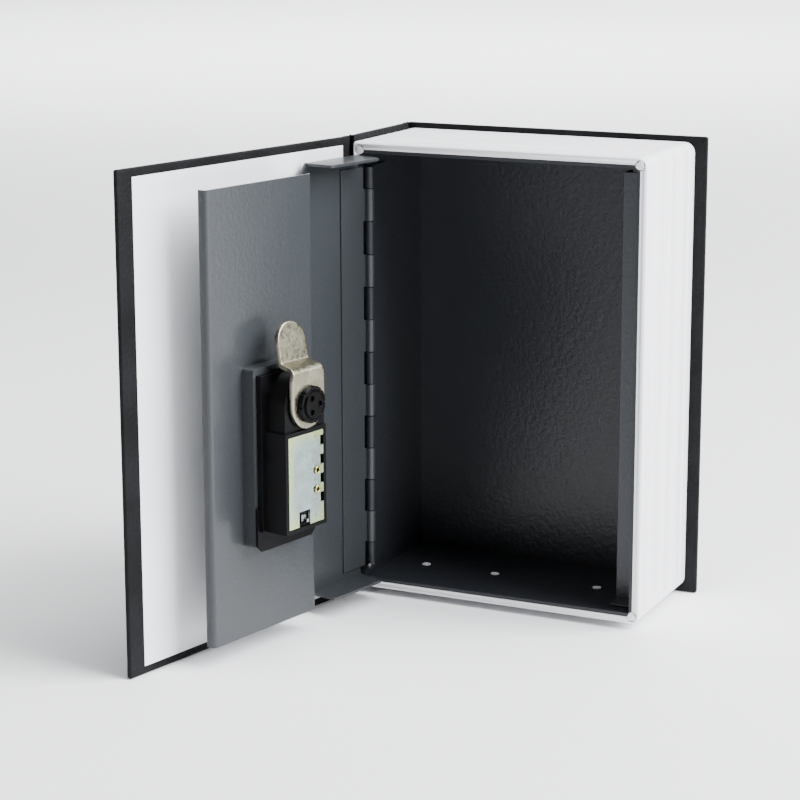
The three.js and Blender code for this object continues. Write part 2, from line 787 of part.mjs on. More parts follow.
// The lock's outside face: a shallow box in the pocket with a window for each dial.
function makeBezel(group) {
  const width = pocketWidth - doorSheet - doorSheet - turnGap - turnGap;
  const tail = pocketTail + doorSheet + turnGap;
  const head = pocketHead - doorSheet - turnGap;
  const outline = roundedRectangle(
    pocketCentre - width * half,
    pocketCentre + width * half,
    tail,
    head,
    bezelCornerRadius,
  );
  const bay = block(
    housingCentre - dialBay * half,
    housingCentre + dialBay * half,
    bezelFaceN + bezelFace,
    bezelBackN + cutOverrun,
    bayTail,
    bayHead,
  );
  const windows = dialZ.map((z) =>
    block(
      housingCentre - windowWidth * half,
      housingCentre + windowWidth * half,
      bezelFaceN - cutOverrun,
      bezelFaceN + bezelFace + cutOverrun,
      z - windowHeight * half,
      z + windowHeight * half,
    ),
  );
  const spindleHole = rodY(camS, camZ, bezelFaceN - cutOverrun, bezelBackN + cutOverrun, spindleBore);
  const body = cut(plated(outline, bezelFaceN, bezelBackN), bay, ...windows, spindleHole);
  piece(group, "lock_bezel", body, blackPlastic);
}

// The tab under the housing, with its two lower corners cut off.
function housingTab() {
  const left = housingCentre - tabHingeReach;
  const right = housingCentre + tabFreeReach;
  const tail = housingTail - tabDrop;
  const points = [
    [left + tabChamfer, tail],
    [right - tabChamfer, tail],
    [right, tail + tabChamfer],
    [right, tail + tabHeight],
    [left, tail + tabHeight],
    [left, tail + tabChamfer],
  ].map(([s, z]) => new THREE.Vector2(s, z));
  return plated(new THREE.Shape(points), housingSeat, housingSeat + tabThickness);
}

// The lock housing: base, dial block, cam boss on its neck and tab, hollowed for dials, shaft and lever.
function makeHousing(group) {
  const left = housingCentre - housingWidth * half;
  const right = housingCentre + housingWidth * half;
  const base = block(
    left,
    right + housingBaseFlange,
    housingSeat,
    housingSeat + housingBaseThickness,
    housingTail,
    housingTail + housingHeight,
  );
  const dialBlock = block(left, right, housingSeat, housingBack, housingTail, blockHead);
  const boss = rodY(camS, camZ, housingSeat, camSeat, housingBossRadius, broadSides);
  const neck = block(
    camS - housingBossRadius,
    camS + housingBossRadius,
    housingSeat,
    camSeat,
    blockHead - camBlockGap,
    camZ,
  );
  const bay = block(
    housingCentre - dialBay * half,
    housingCentre + dialBay * half,
    housingSeat - cutOverrun,
    plateSeatN - seatGap,
    bayTail,
    bayHead,
  );
  const plateRecess = block(
    left + plateFrame,
    right - plateFrame,
    plateSeatN - turnGap,
    housingBack + cutOverrun,
    housingTail + plateFrame,
    blockHead - plateFrame,
  );
  const shaftSeat = rodZ(
    housingCentre,
    dialAxisN,
    bayTail - shaftSeatDepth,
    bayHead + shaftSeatDepth,
    dialShaftRadius + turnGap,
    roundSides,
  );
  const leverBay = block(
    housingCentre - leverWidth * half - turnGap,
    housingCentre + leverWidth * half + leverTravel + turnGap,
    plateSeatN - leverDepth,
    housingBack + cutOverrun,
    leverTail - turnGap,
    leverTail + leverHeight + turnGap,
  );
  const spindleHole = rodY(camS, camZ, housingSeat - cutOverrun, camSeat + cutOverrun, spindleBore);
  const whole = join(base, dialBlock, neck, boss, housingTab());
  const body = cut(whole, bay, plateRecess, shaftSeat, leverBay, spindleHole);
  piece(group, "lock_housing", body, blackPlastic);
}

// The zinc plate over the dials, notched beside each dial, with an open window for the change lever.
function makeBackPlate(group) {
  const left = housingCentre - housingWidth * half + plateFrame + fitGap;
  const right = housingCentre + housingWidth * half - plateFrame - fitGap;
  const tail = housingTail + plateFrame + fitGap;
  const head = blockHead - plateFrame - fitGap;
  const sheet = block(left, right, plateSeatN, plateFaceN, tail, head);
  const notches = dialZ.map((z) =>
    block(
      left - cutOverrun,
      left + plateNotchDepth,
      plateSeatN - cutOverrun,
      plateFaceN + cutOverrun,
      z - plateNotchHeight * half,
      z + plateNotchHeight * half,
    ),
  );
  const windowLeft = housingCentre + leverTravel * half - plateWindowWidth * half;
  const window = block(
    windowLeft,
    windowLeft + plateWindowWidth,
    plateSeatN - cutOverrun,
    plateFaceN + cutOverrun,
    tail - cutOverrun,
    tail + plateWindowHeight,
  );
  const eyeletS = left + eyeletEdge;
  const eyeletZ = [dialZ[0], dialZ[1]].map((z) => z + dialPitch * half);
  const holeRadius = eyeletShankRadius + turnGap;
  const holes = eyeletZ.map((z) =>
    rodY(eyeletS, z, plateSeatN - cutOverrun, plateFaceN + cutOverrun, holeRadius, smallSides),
  );
  piece(group, "lock_back_plate", cut(sheet, ...notches, window, ...holes), zincFinish);
  ["eyelet_lower", "eyelet_upper"].forEach((name, i) => {
    const z = eyeletZ[i];
    const rim = plateFaceN + fitGap;
    const crest = rim + eyeletProud;
    const flange = rodY(eyeletS, z, rim, crest, eyeletRadius, smallSides);
    const shank = rodY(eyeletS, z, plateSeatN, rim + eyeletProud * half, eyeletShankRadius, smallSides);
    const bore = rodY(eyeletS, z, plateSeatN - cutOverrun, crest + cutOverrun, eyeletBoreRadius, tinySides);
    piece(group, name, cut(join(flange, shank), bore), brassFinish);
  });
}

// The lever that sets a new code, seen through the window of the back plate.
function makeChangeLever(group) {
  const left = housingCentre - leverWidth * half;
  const right = housingCentre + leverWidth * half;
  const foot = plateSeatN - leverDepth + turnGap;
  const shoulder = plateSeatN - turnGap - seatGap;
  const slider = block(left, right, foot, shoulder, leverTail, leverTail + leverHeight);
  const stubReach = leverWidth * leverStubShare * half;
  const stub = block(
    housingCentre - stubReach,
    housingCentre + stubReach,
    foot,
    plateFaceN + leverProud,
    leverTail,
    leverTail + leverHeight * half,
  );
  piece(group, "change_lever", join(slider, stub), zincFinish);
}

// Each dial with the gated sleeve that turns inside it.
function makeDials(group) {
  dialZ.forEach((z, i) => {
    const rim = toothedOutline(
      housingCentre,
      dialAxisN,
      dialRadius,
      dialRadius - dialSerrationDepth,
      dialSerrations,
    );
    const z0 = z - dialThickness * half;
    const z1 = z + dialThickness * half;
    const s0 = z - sleeveLength * half;
    const s1 = z + sleeveLength * half;
    const under = s0 - cutOverrun;
    const over = s1 + cutOverrun;
    const bore = rodZ(housingCentre, dialAxisN, under, over, dialBoreRadius, roundSides);
    piece(group, `dial_${i + 1}`, cut(risen(rim, z0, z1), bore), blackPlastic);
    const sleeve = rodZ(housingCentre, dialAxisN, s0, s1, sleeveRadius, roundSides);
    const hollow = rodZ(housingCentre, dialAxisN, under, over, sleeveBoreRadius, roundSides);
    const gate = block(
      housingCentre - sleeveGateWidth * half,
      housingCentre + sleeveGateWidth * half,
      dialAxisN + sleeveRadius - sleeveGateDepth,
      dialAxisN + sleeveRadius + cutOverrun,
      under,
      over,
    );
    piece(group, `dial_sleeve_${i + 1}`, cut(sleeve, hollow, gate), brassFinish);
  });
  const shaftTail = bayTail - shaftSeatDepth + turnGap;
  const shaftHead = bayHead + shaftSeatDepth - turnGap;
  const shaft = rodZ(housingCentre, dialAxisN, shaftTail, shaftHead, dialShaftRadius, roundSides);
  piece(group, "dial_shaft", shaft, steelFinish);
}

// A leaf spring on the hinge side of the dials, its face towards their rims.
function makeDetentSpring(group) {
  const length = bayHead - bayTail - turnGap - turnGap;
  const geometry = new THREE.BoxGeometry(springThickness, springWidth, length);
  const reach = dialRadius + turnGap + springThickness * half;
  geometry.translate(reach, 0, (bayHead + bayTail) * half);
  geometry.rotateZ(THREE.MathUtils.degToRad(springAngleDegrees));
  geometry.translate(housingCentre, dialAxisN, 0);
  piece(group, "detent_spring", solid(geometry), steelFinish);
}

// The fence: a bar beside the dials with a finger in each gap between them.
function makeFence(group) {
  const s1 = housingCentre + dialBay * half - turnGap;
  const n1 = plateSeatN - seatGap - turnGap;
  const tail = bayTail + fenceTravel + turnGap;
  const bar = block(s1 - fenceWidth, s1, n1 - fenceDepth, n1, tail, bayHead - turnGap);
  const outer = Math.hypot(s1 - fenceWidth * half - housingCentre, n1 - fenceDepth * half - dialAxisN);
  const lean = Math.atan2(n1 - fenceDepth * half - dialAxisN, s1 - fenceWidth * half - housingCentre);
  const fingers = dialZ.slice(1).map((z) => {
    const top = z - dialThickness * half - fitGap;
    const geometry = new THREE.BoxGeometry(outer - fingerReach, fingerWidth, fingerThickness);
    geometry.translate((outer + fingerReach) * half, 0, top - fingerThickness * half);
    geometry.rotateZ(lean);
    geometry.translate(housingCentre, dialAxisN, 0);
    return solid(geometry);
  });
  piece(group, "fence_bar", join(bar, ...fingers), steelFinish);
}

// The cam: a plate with a step towards the door, a sloping tip, round ends and a hole for the spindle.
function makeCam(group) {
  const line = (camInner + camOuter) * half;
  const points = [
    [-camWidth * half, line],
    [camStepStart, line],
    [camStepEnd, line - camStepDrop],
    [camReach, line - camStepDrop - camTipDrop],
  ].map(([r, n]) => new THREE.Vector2(n, r));
  const section = foldedSection(points, camThickness, camBendRadius, camBendSteps);
  const geometry = new THREE.ExtrudeGeometry(section, { depth: camWidth, bevelEnabled: false });
  geometry.translate(0, 0, -camWidth * half);
  geometry.applyMatrix4(new THREE.Matrix4().set(0, 0, 1, camS, 1, 0, 0, 0, 0, 1, 0, camZ, 0, 0, 0, 1));
  const outline = new THREE.Shape();
  const radius = camWidth * half;
  outline.absarc(camS, camZ, radius, Math.PI, fullTurn);
  outline.lineTo(camS + radius, camZ + camStepStart);
  outline.absarc(camS, camZ + camReach - camTipRadius, camTipRadius, 0, Math.PI);
  const stadium = plated(outline, camTipInner - cutOverrun, camOuter + cutOverrun);
  const hole = rodY(camS, camZ, camInner - cutOverrun, camOuter + cutOverrun, spindleBore);
  piece(group, "cam_lever", cut(solid(geometry).intersect(stadium), hole), zincFinish);
}

// The notched black cap that holds the cam on its spindle.
function makeCap(group) {
  const outline = toothedOutline(camS, camZ, capRadius, capRadius - capNotchDepth, capNotches);
  const face = capSeat + capThickness;
  const recesses = Array.from({ length: capRecesses }, (_, k) => {
    const angle = (fullTurn * k) / capRecesses;
    const s = camS + capRecessRing * Math.cos(angle);
    const z = camZ + capRecessRing * Math.sin(angle);
    return rodY(s, z, face - capRecessDepth, face + cutOverrun, capRecessRadius, tinySides);
  });
  const bore = rodY(camS, camZ, capSeat - cutOverrun, capBoreEnd, spindleBore);
  piece(group, "cam_cap", cut(plated(outline, capSeat, face), ...recesses, bore), blackPlastic);
}

// The knob on the outside of the door: a ribbed disc with a grip across it, on the end of the spindle.
function makeKnob(group) {
  const top = knobSeat - knobHeight;
  const disc = plated(
    toothedOutline(camS, camZ, knobRadius, knobRadius - knobRibDepth, knobRibs),
    knobSeat - knobBaseThickness,
    knobSeat,
  );
  const reach = Math.sqrt(knobRadius ** 2 - (knobGripWidth * half) ** 2) - knobRibDepth - knobRibDepth;
  const grip = plated(
    roundedRectangle(
      camS - knobGripWidth * half,
      camS + knobGripWidth * half,
      camZ - reach,
      camZ + reach,
      knobGripWidth * knobGripRoundShare,
    ),
    top,
    knobSeat - knobBaseThickness * half,
  );
  const hub = rodY(camS, camZ, knobHubEnd, knobSeat, spindleBore + knobHubWall);
  const bore = rodY(camS, camZ, knobBoreEnd, knobSeat + cutOverrun, spindleBore);
  piece(group, "knob", cut(join(disc, grip, hub), bore), blackPlastic);
  const spindle = rodY(camS, camZ, knobBoreEnd + turnGap, capBoreEnd - turnGap, spindleRadius);
  piece(group, "spindle", spindle, steelFinish);
}

// The front board and its endpaper, drawn closed about the fold line.
function makeFrontCover(group) {
  const inner = boardThickness * half;
  const left = -frontBoardLead;
  const board = roundedRectangle(left, left + coverWidth, tailZ, headZ, boardCornerRadius);
  piece(group, "front_cover", plated(board, -inner, inner), clothFinish);
  const paper = block(
    left + endpaperHingeMargin,
    left + coverWidth - endpaperForeMargin,
    inner + seatGap,
    inner + seatGap + endpaperThickness,
    tailZ + endpaperEndMargin,
    headZ - endpaperEndMargin,
  );
  piece(group, "front_endpaper", paper, paperFinish);
}

// The cloth strip in the front groove, between the spine board and the front board.
function makeFrontJoint(group) {
  const outer = caseOuterX + clothInset;
  const strip = block(outer, outer + clothThickness, jointFrontY, spineSetback - seatGap, tailZ, headZ);
  piece(group, "front_joint_strip", strip, clothFinish);
}

// The book stands with the middle of its back cover's tail edge at the origin.
const book = new THREE.Group();
book.position.set(
  -(caseOuterX + coverWidth * half),
  -(backInnerY + boardThickness * half),
  tailOverhang,
);

const door = new THREE.Group();
door.position.set(hingeX, hingeY, 0);
door.rotation.z = -openAngle;

const frontCover = new THREE.Group();
frontCover.position.set(foldX, foldY, 0);
frontCover.rotation.z = -openAngle;

book.add(door, frontCover);
makeCase(book);
makePageBlock(book);
makeTray(book);
makeStrike(book);
makeHinge(book);
makeFrontJoint(book);
makeFrontCover(frontCover);
makeDoorPanel(door);
makeBezel(door);
makeHousing(door);
makeBackPlate(door);
makeChangeLever(door);
makeDials(door);
makeDetentSpring(door);
makeFence(door);
makeCam(door);
makeCap(door);
makeKnob(door);

const model = new THREE.Group();
model.add(book);

export default model;
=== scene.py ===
"""Looks of a book diversion safe: cloth, paint, plating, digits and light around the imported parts.

Lengths are in metres in the part's frame. +Z is up, +Y points out through the back cover, and +X from the
spine to the fore-edge. The door has its own directions: s along the sheet from the hinge, and n from its
outside to its inside.
"""

import json
import logging
import math
from dataclasses import dataclass
from enum import Enum
from itertools import product
from typing import Any, Mapping, Sequence

import bmesh
import bpy
import numpy as np
from bpy.types import ID, Material, Mesh, NodeSocket, Object
from mathutils import Matrix, Vector


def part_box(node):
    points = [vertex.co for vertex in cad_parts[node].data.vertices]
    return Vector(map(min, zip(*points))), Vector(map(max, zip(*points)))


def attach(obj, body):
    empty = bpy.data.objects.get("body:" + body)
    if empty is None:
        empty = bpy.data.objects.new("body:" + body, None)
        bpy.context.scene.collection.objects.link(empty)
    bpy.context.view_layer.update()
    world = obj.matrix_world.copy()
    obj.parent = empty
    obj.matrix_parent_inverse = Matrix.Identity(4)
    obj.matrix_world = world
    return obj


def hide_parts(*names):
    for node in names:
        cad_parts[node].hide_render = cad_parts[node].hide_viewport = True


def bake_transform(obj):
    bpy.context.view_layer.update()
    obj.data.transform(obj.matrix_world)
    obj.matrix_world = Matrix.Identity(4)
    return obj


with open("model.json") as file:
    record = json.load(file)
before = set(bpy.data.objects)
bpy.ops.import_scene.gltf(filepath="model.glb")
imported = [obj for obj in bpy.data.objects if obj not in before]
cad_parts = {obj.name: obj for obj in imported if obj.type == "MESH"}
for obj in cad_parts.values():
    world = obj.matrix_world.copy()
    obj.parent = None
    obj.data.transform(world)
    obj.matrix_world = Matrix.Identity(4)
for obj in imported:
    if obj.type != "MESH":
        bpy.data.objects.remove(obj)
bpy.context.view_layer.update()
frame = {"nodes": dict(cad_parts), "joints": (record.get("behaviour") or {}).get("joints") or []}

LOG = logging.getLogger("book_safe")
UP = np.array((0.0, 0.0, 1.0))
QUARTER_TURN = math.pi / 2

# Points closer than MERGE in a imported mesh, or than SAME_PLACE in a new one, become one point.
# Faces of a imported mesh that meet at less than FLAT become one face.
MERGE = 2e-6
SAME_PLACE = 5e-7
FLAT = math.radians(1)

# The settings with which a mix node mixes colours, and the span that holds most of a noise's values.
COLOURS = {"out": 2, "data_type": "RGBA"}
SPAN = {"From Min": 0.3, "From Max": 0.7}


class Body(str, Enum):
    """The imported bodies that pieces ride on."""

    CASE = "case"
    GROOVE = "front_joint"
    BOARD = "front_board"
    DOOR = "door"
    CAM = "cam"
    LEVER = "code_lever"


class Slot(str, Enum):
    """The record's material slots."""

    CLOTH = "cover_cloth"
    PAPER = "endpaper"
    PAGES = "page_plastic"
    TRAY = "tray_paint"
    DOOR = "door_paint"
    BLACK = "black_plastic"
    ZINC = "zinc"
    STEEL = "steel"
    BRASS = "brass"


class Node(str, Enum):
    """The kinds of shader node that the finishes use."""

    PLACE = "ShaderNodeTexCoord"
    MAPPING = "ShaderNodeMapping"
    NOISE = "ShaderNodeTexNoise"
    VORONOI = "ShaderNodeTexVoronoi"
    RANGE = "ShaderNodeMapRange"
    MIX = "ShaderNodeMix"
    MATH = "ShaderNodeMath"
    VECTOR_MATH = "ShaderNodeVectorMath"
    SEPARATE = "ShaderNodeSeparateXYZ"
    BUMP = "ShaderNodeBump"
    PRINCIPLED = "ShaderNodeBsdfPrincipled"
    OUTPUT = "ShaderNodeOutputMaterial"


def linear(code: str) -> tuple[float, float, float, float]:
    """Turns an sRGB hex code into a linear colour.

    Args:
        code: six hex digits, such as "3a3a3b".

    Returns:
        Red, green, blue and an alpha of one.
    """
    parts = [int(code[i : i + 2], 16) / 255 for i in (0, 2, 4)]
    red, green, blue = (c / 12.92 if c <= 0.04045 else ((c + 0.055) / 1.055) ** 2.4 for c in parts)
    return red, green, blue, 1.0


class Shader:
    """A material's node tree, built one node at a time."""

    def __init__(self, name: str) -> None:
        """Makes an empty material.

        Args:
            name: the material's name.
        """
        self.material = bpy.data.materials.new(name)
        self.material.use_nodes = True
        self.tree = self.material.node_tree
        self.tree.nodes.clear()
        self.place = self.add(Node.PLACE, {}, out="Object")

    def add(self, kind: Node, inputs: Mapping, out: int | str = 0, **settings: Any) -> NodeSocket | None:
        """Adds a node with its settings and links.

        Args:
            kind: the kind of node.
            inputs: a constant or another node's output for each input, by name or number.
            out: the output that is handed back.
            settings: properties of the node itself.

        Returns:
            The output, or nothing where the node has none.
        """
        node = self.tree.nodes.new(kind.value)
        for key, value in settings.items():
            setattr(node, key, value)
        for key, value in inputs.items():
            if isinstance(value, NodeSocket):
                self.tree.links.new(value, node.inputs[key])
            else:
                node.inputs[key].default_value = value
        return node.outputs[out] if len(node.outputs) else None


def per(size: float) -> float:
    """Gives the texture scale for features of a size in metres."""
    return 1 / size


@dataclass(frozen=True)
class Leatherette:
    """Bookcloth coated with PVC and rolled with a grain: matte, with pebbles that catch a dull light.

    Such a grain has pebbles of about 0.5 mm. They are drawn coarser, so that they show.
    """

    base: str = "0f0f10"
    worn: str = "18181a"
    grain: float = 0.0013
    fibre: float = 0.00065
    patch: float = 0.02
    relief: float = 0.00022
    fine_relief: float = 0.00011
    smooth: float = 0.5
    rough: float = 0.68
    gloss: float = 0.1

    def build(self) -> Material:
        """Makes the material.

        Returns:
            The leatherette.
        """
        g = Shader("leatherette")
        pebbles = g.add(Node.VORONOI, {"Vector": g.place, "Scale": per(self.grain)}, out="Distance")
        fibres = g.add(Node.NOISE, {"Vector": g.place, "Scale": per(self.fibre), "Detail": 2})
        patches = g.add(Node.NOISE, {"Vector": g.place, "Scale": per(self.patch), "Detail": 5})
        worn = g.add(Node.RANGE, {"Value": patches, "From Min": 0.35, "From Max": 0.7})
        coarse = g.add(Node.BUMP, {"Height": pebbles, "Strength": 0.8, "Distance": self.relief})
        fine = g.add(
            Node.BUMP,
            {"Height": fibres, "Strength": 0.3, "Distance": self.fine_relief, "Normal": coarse},
        )
        shade = g.add(Node.MIX, {0: worn, 6: linear(self.base), 7: linear(self.worn)}, **COLOURS)
        dull = g.add(Node.RANGE, {"Value": fibres, **SPAN, "To Min": self.smooth, "To Max": self.rough})
        surface = g.add(
            Node.PRINCIPLED,
            {"Base Color": shade, "Roughness": dull, "Specular IOR Level": self.gloss, "Normal": fine},
        )
        g.add(Node.OUTPUT, {"Surface": surface})
        return g.material


@dataclass(frozen=True)
class CloudedSkin:
    """A plain skin with a fine tooth, whose tone and gloss drift together in slow clouds."""

    name: str
    base: str
    cloud: str
    tooth: float
    patch: float
    smooth: float
    rough: float
    gloss: float
    bite: float
    relief: float = 0.00003

    def build(self) -> Material:
        """Makes the material.

        Returns:
            The skin.
        """
        g = Shader(self.name)
        patches = g.add(Node.NOISE, {"Vector": g.place, "Scale": per(self.patch), "Detail": 4})
        grains = g.add(Node.NOISE, {"Vector": g.place, "Scale": per(self.tooth), "Detail": 2})
        clouds = g.add(Node.RANGE, {"Value": patches, "From Min": 0.35, "From Max": 0.65})
        shade = g.add(Node.MIX, {0: clouds, 6: linear(self.base), 7: linear(self.cloud)}, **COLOURS)
        dull = g.add(Node.RANGE, {"Value": clouds, "To Min": self.smooth, "To Max": self.rough})
        fine = g.add(Node.BUMP, {"Height": grains, "Strength": self.bite, "Distance": self.relief})
        surface = g.add(
            Node.PRINCIPLED,
            {"Base Color": shade, "Roughness": dull, "Specular IOR Level": self.gloss, "Normal": fine},
        )
        g.add(Node.OUTPUT, {"Surface": surface})
        return g.material


@dataclass(frozen=True)
class Endpaper(CloudedSkin):
    """Coated printing paper, pasted flat: nearly white, with a faint tooth and slow clouds."""

    name: str = "endpaper"
    base: str = "f0f1f4"
    cloud: str = "e8eaed"
    tooth: float = 0.0004
    patch: float = 0.03
    smooth: float = 0.5
    rough: float = 0.62
    gloss: float = 0.5
    bite: float = 0.15


@dataclass(frozen=True)
class MouldedAbs(CloudedSkin):
    """Injection-moulded ABS from a spark-eroded tool: near black, with a dull even sheen."""

    name: str = "black_abs"
    base: str = "040405"
    cloud: str = "070708"
    tooth: float = 0.0003
    patch: float = 0.008
    smooth: float = 0.34
    rough: float = 0.5
    gloss: float = 0.12
    bite: float = 0.25


@dataclass(frozen=True)
class PagePlastic:
    """Moulded polystyrene with page edges drawn in the mould: white, satin, lined from cover to cover.

    The leaves of a real book are about 0.1 mm thick. The lines are drawn coarser, so that they show.
    """

    base: str = "f9f9fb"
    line: str = "e4e5ea"
    leaf: float = 0.00045
    bundle: float = 0.0026
    run: tuple[float, float, float] = (0.004, 1, 0.004)
    relief: float = 0.00012
    wide_relief: float = 0.00024
    smooth: float = 0.36
    rough: float = 0.5

    def build(self) -> Material:
        """Makes the material.

        Returns:
            The plastic.
        """
        g = Shader("page_plastic")
        along = g.add(Node.MAPPING, {"Vector": g.place, "Scale": self.run})
        leaves = g.add(Node.NOISE, {"Vector": along, "Scale": per(self.leaf), "Detail": 3})
        bundles = g.add(Node.NOISE, {"Vector": along, "Scale": per(self.bundle), "Detail": 3})
        specks = g.add(Node.NOISE, {"Vector": g.place, "Scale": per(self.bundle), "Detail": 4})
        wide = g.add(Node.BUMP, {"Height": bundles, "Strength": 0.5, "Distance": self.wide_relief})
        lines = g.add(
            Node.BUMP,
            {"Height": leaves, "Strength": 0.5, "Distance": self.relief, "Normal": wide},
        )
        dark = g.add(
            Node.RANGE,
            {"Value": leaves, "From Min": 0.3, "From Max": 0.6, "To Min": 0.7, "To Max": 0},
        )
        shade = g.add(Node.MIX, {0: dark, 6: linear(self.base), 7: linear(self.line)}, **COLOURS)
        dull = g.add(Node.RANGE, {"Value": specks, **SPAN, "To Min": self.smooth, "To Max": self.rough})
        surface = g.add(Node.PRINCIPLED, {"Base Color": shade, "Roughness": dull, "Normal": lines})
        g.add(Node.OUTPUT, {"Surface": surface})
        return g.material


@dataclass(frozen=True)
class StovePaint:
    """Baked powder paint on sheet steel: orange-peel skin, fine grit, soft gloss and painted glints."""

    name: str
    base: str
    rubbed: str
    fleck: str
    smooth: float = 0.27
    rough: float = 0.34
    peel: float = 0.0016
    grit: float = 0.0006
    patch: float = 0.025
    relief: float = 0.00019
    grit_share: float = 0.25
    gloss: float = 0.3

    def build(self) -> Material:
        """Makes the material.

        Returns:
            The paint.
        """
        g = Shader(self.name)
        waves = g.add(Node.NOISE, {"Vector": g.place, "Scale": per(self.peel), "Detail": 1.5})
        grains = g.add(Node.NOISE, {"Vector": g.place, "Scale": per(self.grit), "Detail": 2})
        patches = g.add(Node.NOISE, {"Vector": g.place, "Scale": per(self.patch), "Detail": 2})
        rubs = g.add(Node.RANGE, {"Value": patches, "To Min": 0.2, "To Max": 0.7})
        # The brightest grains become light flecks: painted glints off the orange peel.
        dots = g.add(Node.RANGE, {"Value": grains, "From Min": 0.56, "From Max": 0.74, "To Max": 0.35})
        peel = g.add(Node.BUMP, {"Height": waves, "Strength": 0.6, "Distance": self.relief})
        fine = g.add(
            Node.BUMP,
            {"Height": grains, "Strength": 0.3, "Distance": self.relief * self.grit_share, "Normal": peel},
        )
        plain = g.add(Node.MIX, {0: rubs, 6: linear(self.base), 7: linear(self.rubbed)}, **COLOURS)
        shade = g.add(Node.MIX, {0: dots, 6: plain, 7: linear(self.fleck)}, **COLOURS)
        dull = g.add(Node.RANGE, {"Value": rubs, "To Min": self.smooth, "To Max": self.rough})
        surface = g.add(
            Node.PRINCIPLED,
            {"Base Color": shade, "Roughness": dull, "Specular IOR Level": self.gloss, "Normal": fine},
        )
        g.add(Node.OUTPUT, {"Surface": surface})
        return g.material


@dataclass(frozen=True)
class Plating:
    """Plated or drawn metal: a bright skin that drifts between two tones, with stains and scratches."""

    name: str
    base: str
    drift: str
    stain: str
    metallic: float = 1.0
    smooth: float = 0.25
    rough: float = 0.42
    patch: float = 0.007
    spot: float = 0.0014
    scratch: float = 0.0004
    run: tuple[float, float, float] = (1, 1, 0.06)
    relief: float = 0.00004
    wave_relief: float = 0.00016

    def film(self, g: Shader, shade: NodeSocket) -> NodeSocket:
        """Lays no film on the plating."""
        return shade

    def build(self) -> Material:
        """Makes the material.

        Returns:
            The metal.
        """
        g = Shader(self.name)
        patches = g.add(Node.NOISE, {"Vector": g.place, "Scale": per(self.patch), "Detail": 5})
        dots = g.add(Node.NOISE, {"Vector": g.place, "Scale": per(self.spot), "Detail": 4})
        drawn = g.add(Node.MAPPING, {"Vector": g.place, "Scale": self.run})
        lines = g.add(Node.NOISE, {"Vector": drawn, "Scale": per(self.scratch), "Detail": 1})
        clouds = g.add(Node.RANGE, {"Value": patches, "From Min": 0.38, "From Max": 0.62})
        spots = g.add(Node.RANGE, {"Value": dots, "From Min": 0.55, "From Max": 0.75, "To Max": 0.35})
        plain = g.add(Node.MIX, {0: clouds, 6: linear(self.base), 7: linear(self.drift)}, **COLOURS)
        marked = g.add(Node.MIX, {0: spots, 6: plain, 7: linear(self.stain)}, **COLOURS)
        shade = self.film(g, marked)
        dull = g.add(Node.RANGE, {"Value": dots, **SPAN, "To Min": self.smooth, "To Max": self.rough})
        waves = g.add(Node.BUMP, {"Height": patches, "Strength": 0.12, "Distance": self.wave_relief})
        fine = g.add(
            Node.BUMP,
            {"Height": lines, "Strength": 0.12, "Distance": self.relief, "Normal": waves},
        )
        surface = g.add(
            Node.PRINCIPLED,
            {"Base Color": shade, "Roughness": dull, "Metallic": self.metallic, "Normal": fine},
        )
        g.add(Node.OUTPUT, {"Surface": surface})
        return g.material


@dataclass(frozen=True)
class ChromatedPlate(Plating):
    """Zinc plate passivated in chromate: a bluish middle under a yellow film, thicker at the edges."""

    yellow: str = "c0cc95"
    middle: tuple[float, float, float] = (0, 0, 0)
    turn: float = 0
    half: tuple[float, float, float] = (1, 1, 1)

    def film(self, g: Shader, shade: NodeSocket) -> NodeSocket:
        """Tints the plate by how near a point is to its edges, as a share of half its width and height.

        Args:
            g: the material.
            shade: the colour under the film.

        Returns:
            The colour with the film.
        """
        place = {"Location": self.middle, "Rotation": (0, 0, self.turn), "Scale": self.half}
        local = g.add(Node.MAPPING, {"Vector": g.place, **place}, vector_type="TEXTURE")
        apart = g.add(Node.VECTOR_MATH, {0: local}, operation="ABSOLUTE")
        across = g.add(Node.SEPARATE, {"Vector": apart}, out="X")
        up = g.add(Node.SEPARATE, {"Vector": apart}, out="Z")
        farther = g.add(Node.MATH, {0: across, 1: up}, operation="SMOOTH_MAX")
        clouds = g.add(Node.NOISE, {"Vector": g.place, "Scale": per(self.patch), "Detail": 3})
        reached = g.add(Node.MATH, {0: clouds, 1: 0.5, 2: farther}, operation="MULTIPLY_ADD")
        near = g.add(Node.RANGE, {"Value": reached, "From Min": 0.95, "From Max": 1.3})
        return g.add(Node.MIX, {0: near, 6: shade, 7: linear(self.yellow)}, **COLOURS)


@dataclass(frozen=True)
class DigitInk:
    """White screen ink on the dials, thin enough to let a little black through."""

    base: str = "d8d8d4"
    thin: str = "a9a9a6"
    patch: float = 0.0009
    rough: float = 0.55

    def build(self) -> Material:
        """Makes the material.

        Returns:
            The ink.
        """
        g = Shader("digit_ink")
        patches = g.add(Node.NOISE, {"Vector": g.place, "Scale": per(self.patch), "Detail": 3})
        thin = g.add(Node.RANGE, {"Value": patches, "From Min": 0.4, "From Max": 0.75})
        shade = g.add(Node.MIX, {0: thin, 6: linear(self.base), 7: linear(self.thin)}, **COLOURS)
        surface = g.add(Node.PRINCIPLED, {"Base Color": shade, "Roughness": self.rough})
        g.add(Node.OUTPUT, {"Surface": surface})
        return g.material


